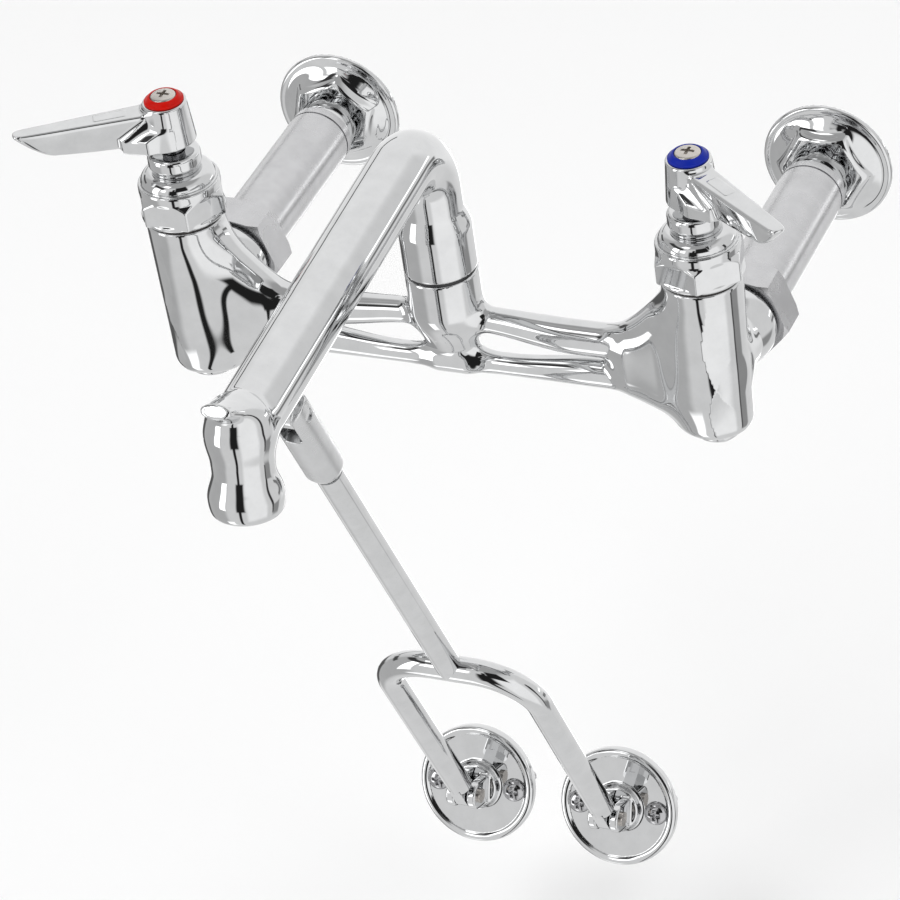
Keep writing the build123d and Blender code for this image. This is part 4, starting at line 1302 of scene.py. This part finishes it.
@dataclass
class WallBracket(Casting):
    """Round wall foot with a dished face, a boss and two ears."""

    name: str
    radius: float = 24.4
    thickness: float = 5.4
    back: float = -16.6
    recess_r: float = 21.6
    recess: float = 0.8
    boss_r: float = 10.0
    boss_h: float = 3.0
    ear_gap: float = 5.4
    ear_t: float = 3.6
    ear_r: float = 5.6
    pin_r: float = 2.0
    screw_r: float = 2.4
    screw_x: float = 16.2
    tilt: float = 68.6

    def local(self, world: np.ndarray) -> np.ndarray:
        """Points about the bracket's pivot, Z out of its face."""
        centre = FramePlaces.centre(f"{self.name}_bracket")
        pin = FramePlaces.centre(f"{self.name}_bracket_pin")
        return tilted(world, np.array([centre[0], pin[1], pin[2]]), self.tilt)

    def shape(self, world: np.ndarray) -> np.ndarray:
        """Field of the bracket in the part's frame."""
        q = self.local(world)
        face = self.back + self.thickness
        solid = drum(q, self.back, face, self.radius, self.radius, 1.9)
        dish = drum(q, face - self.recess, face + 9.0, self.recess_r - 0.8, self.recess_r + 8.0, 0.2)
        solid = blend_max(solid, -dish, 1.0)
        floor = face - self.recess
        boss = drum(q, self.back + 1.0, floor + self.boss_h, self.boss_r + 0.6, self.boss_r - 0.8, 1.2)
        solid = blend_min(solid, boss, 1.6)
        arm = np.hypot(q[:, 1], np.maximum(q[:, 2], 0.0)) - self.ear_r
        side = np.abs(np.abs(q[:, 0]) - (self.ear_gap + self.ear_t) / 2) - self.ear_t / 2
        ears = blend_max(blend_max(arm, side, 0.9), self.back + 1.0 - q[:, 2], 0.5)
        solid = blend_min(solid, ears, 1.2)
        hole = np.hypot(q[:, 1], q[:, 2]) - self.pin_r
        screws = np.hypot(np.abs(q[:, 0]) - self.screw_x, q[:, 1]) - self.screw_r
        return np.maximum(solid, -np.minimum(hole, screws))

    def build(self, shelf: FinishShelf) -> None:
        """Meshes the bracket."""
        self.settle_piece(shelf, f"{self.name}_bracket", f"{self.name}_foot_plate", f"{self.name}_foot",
                          TURNED_CHROME, 0.5, "polished_chrome")


@dataclass
class BracketScrews(WallBracket):
    """Two round headed wall screws of a bracket."""

    head_r: float = 4.75
    head_h: float = 3.0
    out: float = 14.0

    def shape(self, world: np.ndarray) -> np.ndarray:
        """Field of both screws in the part's frame."""
        q = folded(self.local(world), self.screw_x)
        seat = self.back + self.thickness - 0.7
        rise = (q[:, 2] - seat - 0.4) / (self.head_h - 0.4)
        dome = np.sqrt((radial(q, 0, 1) / self.head_r) ** 2 + rise ** 2)
        head = blend_max((dome - 1.0) * 2.6, seat - q[:, 2], 0.3)
        rim = drum(q, seat, seat + 0.8, self.head_r, self.head_r, 0.3)
        head = np.minimum(head, rim)
        head = np.maximum(head, -cross_recess(q, seat + self.head_h, 4.6, 1.2, 1.7))
        shank = drum(q, self.back - self.out, seat + 0.5, self.screw_r, self.screw_r * 0.98, 0.6)
        return np.minimum(head, shank)

    def build(self, shelf: FinishShelf) -> None:
        """Meshes the screws."""
        self.settle_piece(shelf, f"{self.name}_bracket_screws", f"{self.name}_wall_screws",
                          f"{self.name}_foot", SCREW_PLATE, 0.3, "bright_steel")


# ------------------------------------------------------------------ finishes on the frame
FRAME_FINISHES: dict[str, Finish] = {
    "bonnet": TURNED_CHROME, "bonnet_gasket": FIBRE, "packing_nut": TURNED_CHROME, "packing": FIBRE,
    # The spindle's finish carries painted shade of the gap under the lever in its dark base colour.
    "spindle": SPINDLE_GAP_SHADE_STEEL, "plunger": BRASS, "seat_washer": RUBBER, "washer_screw": STEEL,
    "valve_seat": BRASS, "lever": CHROME, "lever_screw": STEEL, "wall_flange": TURNED_CHROME,
    "supply_tube": SATIN, "coupling_washer": FIBRE, "coupling_nut": SATIN, "body_casting": CHROME,
    "spout": CHROME, "swivel_stem": BRASS, "spout_o_rings": RUBBER, "snap_ring": STEEL,
    "spout_washer": NYLON, "brace_clevis": TURNED_CHROME, "brace_pin": TURNED_CHROME,
    "brace_rod": BENT_CHROME, "brace_fork": BENT_CHROME, "bracket": TURNED_CHROME,
    "bracket_pin": STEEL, "bracket_screws": STEEL,
}


def dress_frame(nodes: dict[str, bpy.types.Object], shelf: FinishShelf) -> None:
    """Lays a finish on every node of the frame.

    Args:
        nodes: The frame's objects by node name.
        shelf: The finishes.
    """
    for name, node in nodes.items():
        if name.endswith("index_ring"):
            shelf.dress(node, RED if name.startswith("hot") else BLUE)
            continue
        plain = name
        for prefix in ("hot_", "cold_", "left_", "right_"):
            plain = plain.removeprefix(prefix)
        shelf.dress(node, FRAME_FINISHES[plain])
        LOG.info("%s dressed as %s", name, FRAME_FINISHES[plain].name)


# ------------------------------------------------------------------ studio
@dataclass(frozen=True)
class Panel:
    """One soft edged card or light box of the tent, placed by direction in degrees."""

    azimuth: float
    elevation: float
    half_azimuth: float
    half_elevation: float
    level: float
    soft: float = 4.0
    lean: float = 0.0


TENT_PANELS = (
    Panel(0.0, 80.0, 180.0, 26.0, 0.48, 16.0),
    Panel(-38.0, -5.0, 30.0, 40.0, 1.20, 12.0),
    Panel(95.0, 20.0, 42.0, 50.0, 1.10, 14.0),
    Panel(-165.0, -2.0, 36.0, 60.0, 0.58, 16.0),
    Panel(-138.0, 10.0, 9.0, 30.0, 3.0, 4.0),
    Panel(-126.0, -52.0, 12.0, 9.0, 1.8, 5.0),
    Panel(97.0, -33.0, 5.0, 12.0, 2.4, 3.0),
    Panel(146.0, -27.0, 15.0, 17.0, 0.12, 8.0),
    Panel(11.0, -12.0, 3.5, 30.0, 0.05, 3.0, -0.15),
    Panel(28.0, -36.0, 12.0, 10.0, 0.36, 8.0),
    Panel(-86.0, -10.0, 4.0, 54.0, 0.02, 3.5, 0.06),
    Panel(-84.0, 6.0, 12.0, 25.0, 0.02, 7.0),
    Panel(-58.0, 38.0, 20.0, 18.0, 0.02, 6.0),
    Panel(132.0, 13.0, 14.0, 1.7, 0.03, 1.3),
    Panel(47.0, -4.0, 9.0, 1.6, 2.8, 1.2),
    Panel(50.0, -15.0, 10.0, 2.6, 0.25, 2.4),
    Panel(-150.0, 44.0, 30.0, 7.0, 0.06, 5.0),
    Panel(-115.0, 27.0, 7.0, 8.0, 2.8, 3.0),
    Panel(-125.0, 62.0, 16.0, 6.0, 2.6, 5.0),
    Panel(165.0, 14.0, 14.0, 5.0, 0.10, 4.0),
)


class LightTent:
    """World shader of a pale tent with dark gaps and light boxes, set by direction alone."""

    def __init__(self, base: float = 0.88, backdrop: float = 1.0) -> None:
        """Keeps the tent's own level and the level of the plain backdrop."""
        self.base = base
        self.backdrop = backdrop

    @staticmethod
    def panel_group() -> bpy.types.NodeTree:
        """Group that lays one panel over the level under it.

        Returns:
            A group with the direction, the level under the panel and the panel's own values.
        """
        g = GroupBuilder("tent_panel")
        defaults = {"Azimuth": 0.0, "Elevation": 0.0, "Under": 1.0, "Centre Azimuth": 0.0,
                    "Centre Elevation": 0.0, "Half Azimuth": 10.0, "Half Elevation": 10.0, "Level": 1.0,
                    "Soft": 4.0, "Lean": 0.0}
        sockets = [g.takes(name, value) for name, value in defaults.items()]
        azimuth, elevation, under, centre_a, centre_e, half_a, half_e, level, soft, lean = sockets
        rise = g.math("SUBTRACT", elevation, centre_e)
        turn = g.math("SUBTRACT", g.math("SUBTRACT", azimuth, centre_a), g.math("MULTIPLY", rise, lean))
        wrap = g.place("ShaderNodeMath", operation="WRAP")
        g.join(turn, wrap.inputs[0])
        wrap.inputs[1].default_value = 180.0
        wrap.inputs[2].default_value = -180.0
        masks = []
        for offset, half in ((wrap.outputs[0], half_a), (rise, half_e)):
            past = g.math("SUBTRACT", half, g.math("ABSOLUTE", offset))
            masks.append(g.math("DIVIDE", past, soft))
        cover = g.place("ShaderNodeMapRange", clamp=True, interpolation_type="SMOOTHSTEP")
        g.join(g.math("MINIMUM", *masks), cover.inputs["Value"])
        cover.inputs["From Min"].default_value = -0.5
        cover.inputs["From Max"].default_value = 0.5
        gap = g.math("SUBTRACT", level, under)
        g.gives("Level", g.math("ADD", under, g.math("MULTIPLY", gap, cover.outputs["Result"])))
        return g.tree

    def build(self) -> None:
        """Builds the world and sets it on the scene."""
        world = bpy.data.worlds.new("light_tent")
        world.use_nodes = True
        bpy.context.scene.world = world
        tree = world.node_tree
        where = tree.nodes.new("ShaderNodeTexCoord")
        split = tree.nodes.new("ShaderNodeSeparateXYZ")
        tree.links.new(where.outputs["Generated"], split.inputs[0])
        azimuth = self.angle(tree, "ARCTAN2", split.outputs["Y"], split.outputs["X"])
        elevation = self.angle(tree, "ARCSINE", split.outputs["Z"], None)
        group = self.panel_group()
        level = None
        for panel in TENT_PANELS:
            node = tree.nodes.new("ShaderNodeGroup")
            node.node_tree = group
            tree.links.new(azimuth, node.inputs["Azimuth"])
            tree.links.new(elevation, node.inputs["Elevation"])
            if level is None:
                node.inputs["Under"].default_value = self.base
            else:
                tree.links.new(level, node.inputs["Under"])
            settings = {"Centre Azimuth": panel.azimuth, "Centre Elevation": panel.elevation,
                        "Half Azimuth": panel.half_azimuth, "Half Elevation": panel.half_elevation,
                        "Level": panel.level, "Soft": panel.soft, "Lean": panel.lean}
            for name, value in settings.items():
                node.inputs[name].default_value = value
            level = node.outputs["Level"]
        tent = tree.nodes["Background"]
        tree.links.new(level, tent.inputs["Color"])
        plain = tree.nodes.new("ShaderNodeBackground")
        plain.inputs["Color"].default_value = (self.backdrop,) * 3 + (1.0,)
        path = tree.nodes.new("ShaderNodeLightPath")
        mix = tree.nodes.new("ShaderNodeMixShader")
        tree.links.new(path.outputs["Is Camera Ray"], mix.inputs[0])
        tree.links.new(tent.outputs[0], mix.inputs[1])
        tree.links.new(plain.outputs[0], mix.inputs[2])
        tree.links.new(mix.outputs[0], tree.nodes["World Output"].inputs["Surface"])

    @staticmethod
    def angle(tree: bpy.types.NodeTree, operation: str, a: bpy.types.NodeSocket,
              b: bpy.types.NodeSocket | None) -> bpy.types.NodeSocket:
        """An inverse trigonometric function of sockets, in degrees."""
        node = tree.nodes.new("ShaderNodeMath")
        node.operation = operation
        tree.links.new(a, node.inputs[0])
        if b is not None:
            tree.links.new(b, node.inputs[1])
        degrees = tree.nodes.new("ShaderNodeMath")
        degrees.operation = "DEGREES"
        tree.links.new(node.outputs[0], degrees.inputs[0])
        return degrees.outputs[0]


@dataclass
class Studio:
    """Floor, light and camera."""

    azimuth: float = math.radians(27.19)
    elevation: float = math.radians(35.51)
    roll: float = math.radians(-8.86)
    distance: float = 1.86168
    target: tuple[float, float, float] = (-0.04599, -0.060, -0.1155)
    lens: float = 188.15
    sensor_mm: float = 36.0
    clip_end: float = 30.0
    floor_drop: float = 0.06
    floor_half: float = 4.0
    floor_tone: float = 0.93
    lamp_aim: tuple[float, float, float] = (0.0, -0.1, -0.05)

    def camera(self) -> None:
        """Sets the camera."""
        ca, sa = math.cos(self.azimuth), math.sin(self.azimuth)
        ce, se = math.cos(self.elevation), math.sin(self.elevation)
        back = Vector((sa * ce, -ca * ce, se))
        right = Vector((ca, sa, 0.0))
        up = back.cross(right)
        cr, sr = math.cos(self.roll), math.sin(self.roll)
        x_axis = right * cr + up * sr
        y_axis = up * cr - right * sr
        data = bpy.data.cameras.new("camera")
        data.lens = self.lens
        data.sensor_width = self.sensor_mm
        data.clip_end = self.clip_end
        camera = bpy.data.objects.new("camera", data)
        turn = Matrix((x_axis, y_axis, back)).transposed().to_4x4()
        camera.matrix_world = Matrix.Translation(Vector(self.target) + back * self.distance) @ turn
        bpy.context.scene.collection.objects.link(camera)
        bpy.context.scene.camera = camera

    def floor(self, lowest: float) -> None:
        """Lays a plain pale floor under the part."""
        level, half = lowest - self.floor_drop, self.floor_half
        data = bpy.data.meshes.new("floor")
        corners = [(-half, -half, level), (half, -half, level), (half, half, level), (-half, half, level)]
        data.from_pydata(corners, [], [(0, 1, 2, 3)])
        plane = bpy.data.objects.new("floor", data)
        bpy.context.scene.collection.objects.link(plane)
        mat = bpy.data.materials.new("pale_floor")
        mat.use_nodes = True
        shader = mat.node_tree.nodes["Principled BSDF"]
        shader.inputs["Base Color"].default_value = (self.floor_tone,) * 3 + (1.0,)
        shader.inputs["Roughness"].default_value = 0.9
        shader.inputs["Specular IOR Level"].default_value = 0.1
        plane.data.materials.append(mat)
        plane.visible_glossy = False
        plane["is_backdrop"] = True

    def lamp(self, name: str, place: tuple[float, float, float], size: float, power: float) -> None:
        """Hangs a square soft light aimed at the part."""
        data = bpy.data.lights.new(name, "AREA")
        data.shape = "SQUARE"
        data.size = size
        data.energy = power
        lamp = bpy.data.objects.new(name, data)
        lamp.location = place
        aim = Vector(self.lamp_aim) - Vector(place)
        lamp.rotation_euler = aim.to_track_quat("-Z", "Y").to_euler()
        lamp.visible_glossy = False
        bpy.context.scene.collection.objects.link(lamp)

    def build(self, lowest: float) -> None:
        """Sets up the whole studio."""
        scene = bpy.context.scene
        scene.view_settings.view_transform = "Standard"
        self.camera()
        self.floor(lowest)
        LightTent().build()
        self.lamp("key", (-1.2, -1.6, 2.6), 1.6, 31.0)
        self.lamp("fill", (1.8, -0.6, 1.8), 1.6, 13.0)


# ------------------------------------------------------------------ main
def plain_box(box: tuple) -> list[list[float]]:
    """A box as plain lists of numbers."""
    return [[float(v) for v in corner] for corner in box]


def main() -> None:
    """Builds the faucet's looks round its frame."""
    logging.basicConfig(level=logging.INFO, format="%(name)s: %(message)s")
    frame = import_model()
    cad_box = plain_box(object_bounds())
    places = FramePlaces.read()
    shelf = FinishShelf()
    dress_frame(frame["nodes"], shelf)
    BodyCasting(places).build(shelf)
    Spout(places).build(shelf)
    for side in Side:
        for piece in (Lever, Bonnet, PackingNut, IndexRing, LeverScrew, WallFlange):
            piece(places, side).build(shelf)
    BraceClevis(places).build(shelf)
    for name in ("left", "right"):
        WallBracket(places, name).build(shelf)
        BracketScrews(places, name).build(shelf)
    Studio().build(cad_box[0][2])


if __name__ == "__main__":
    main()
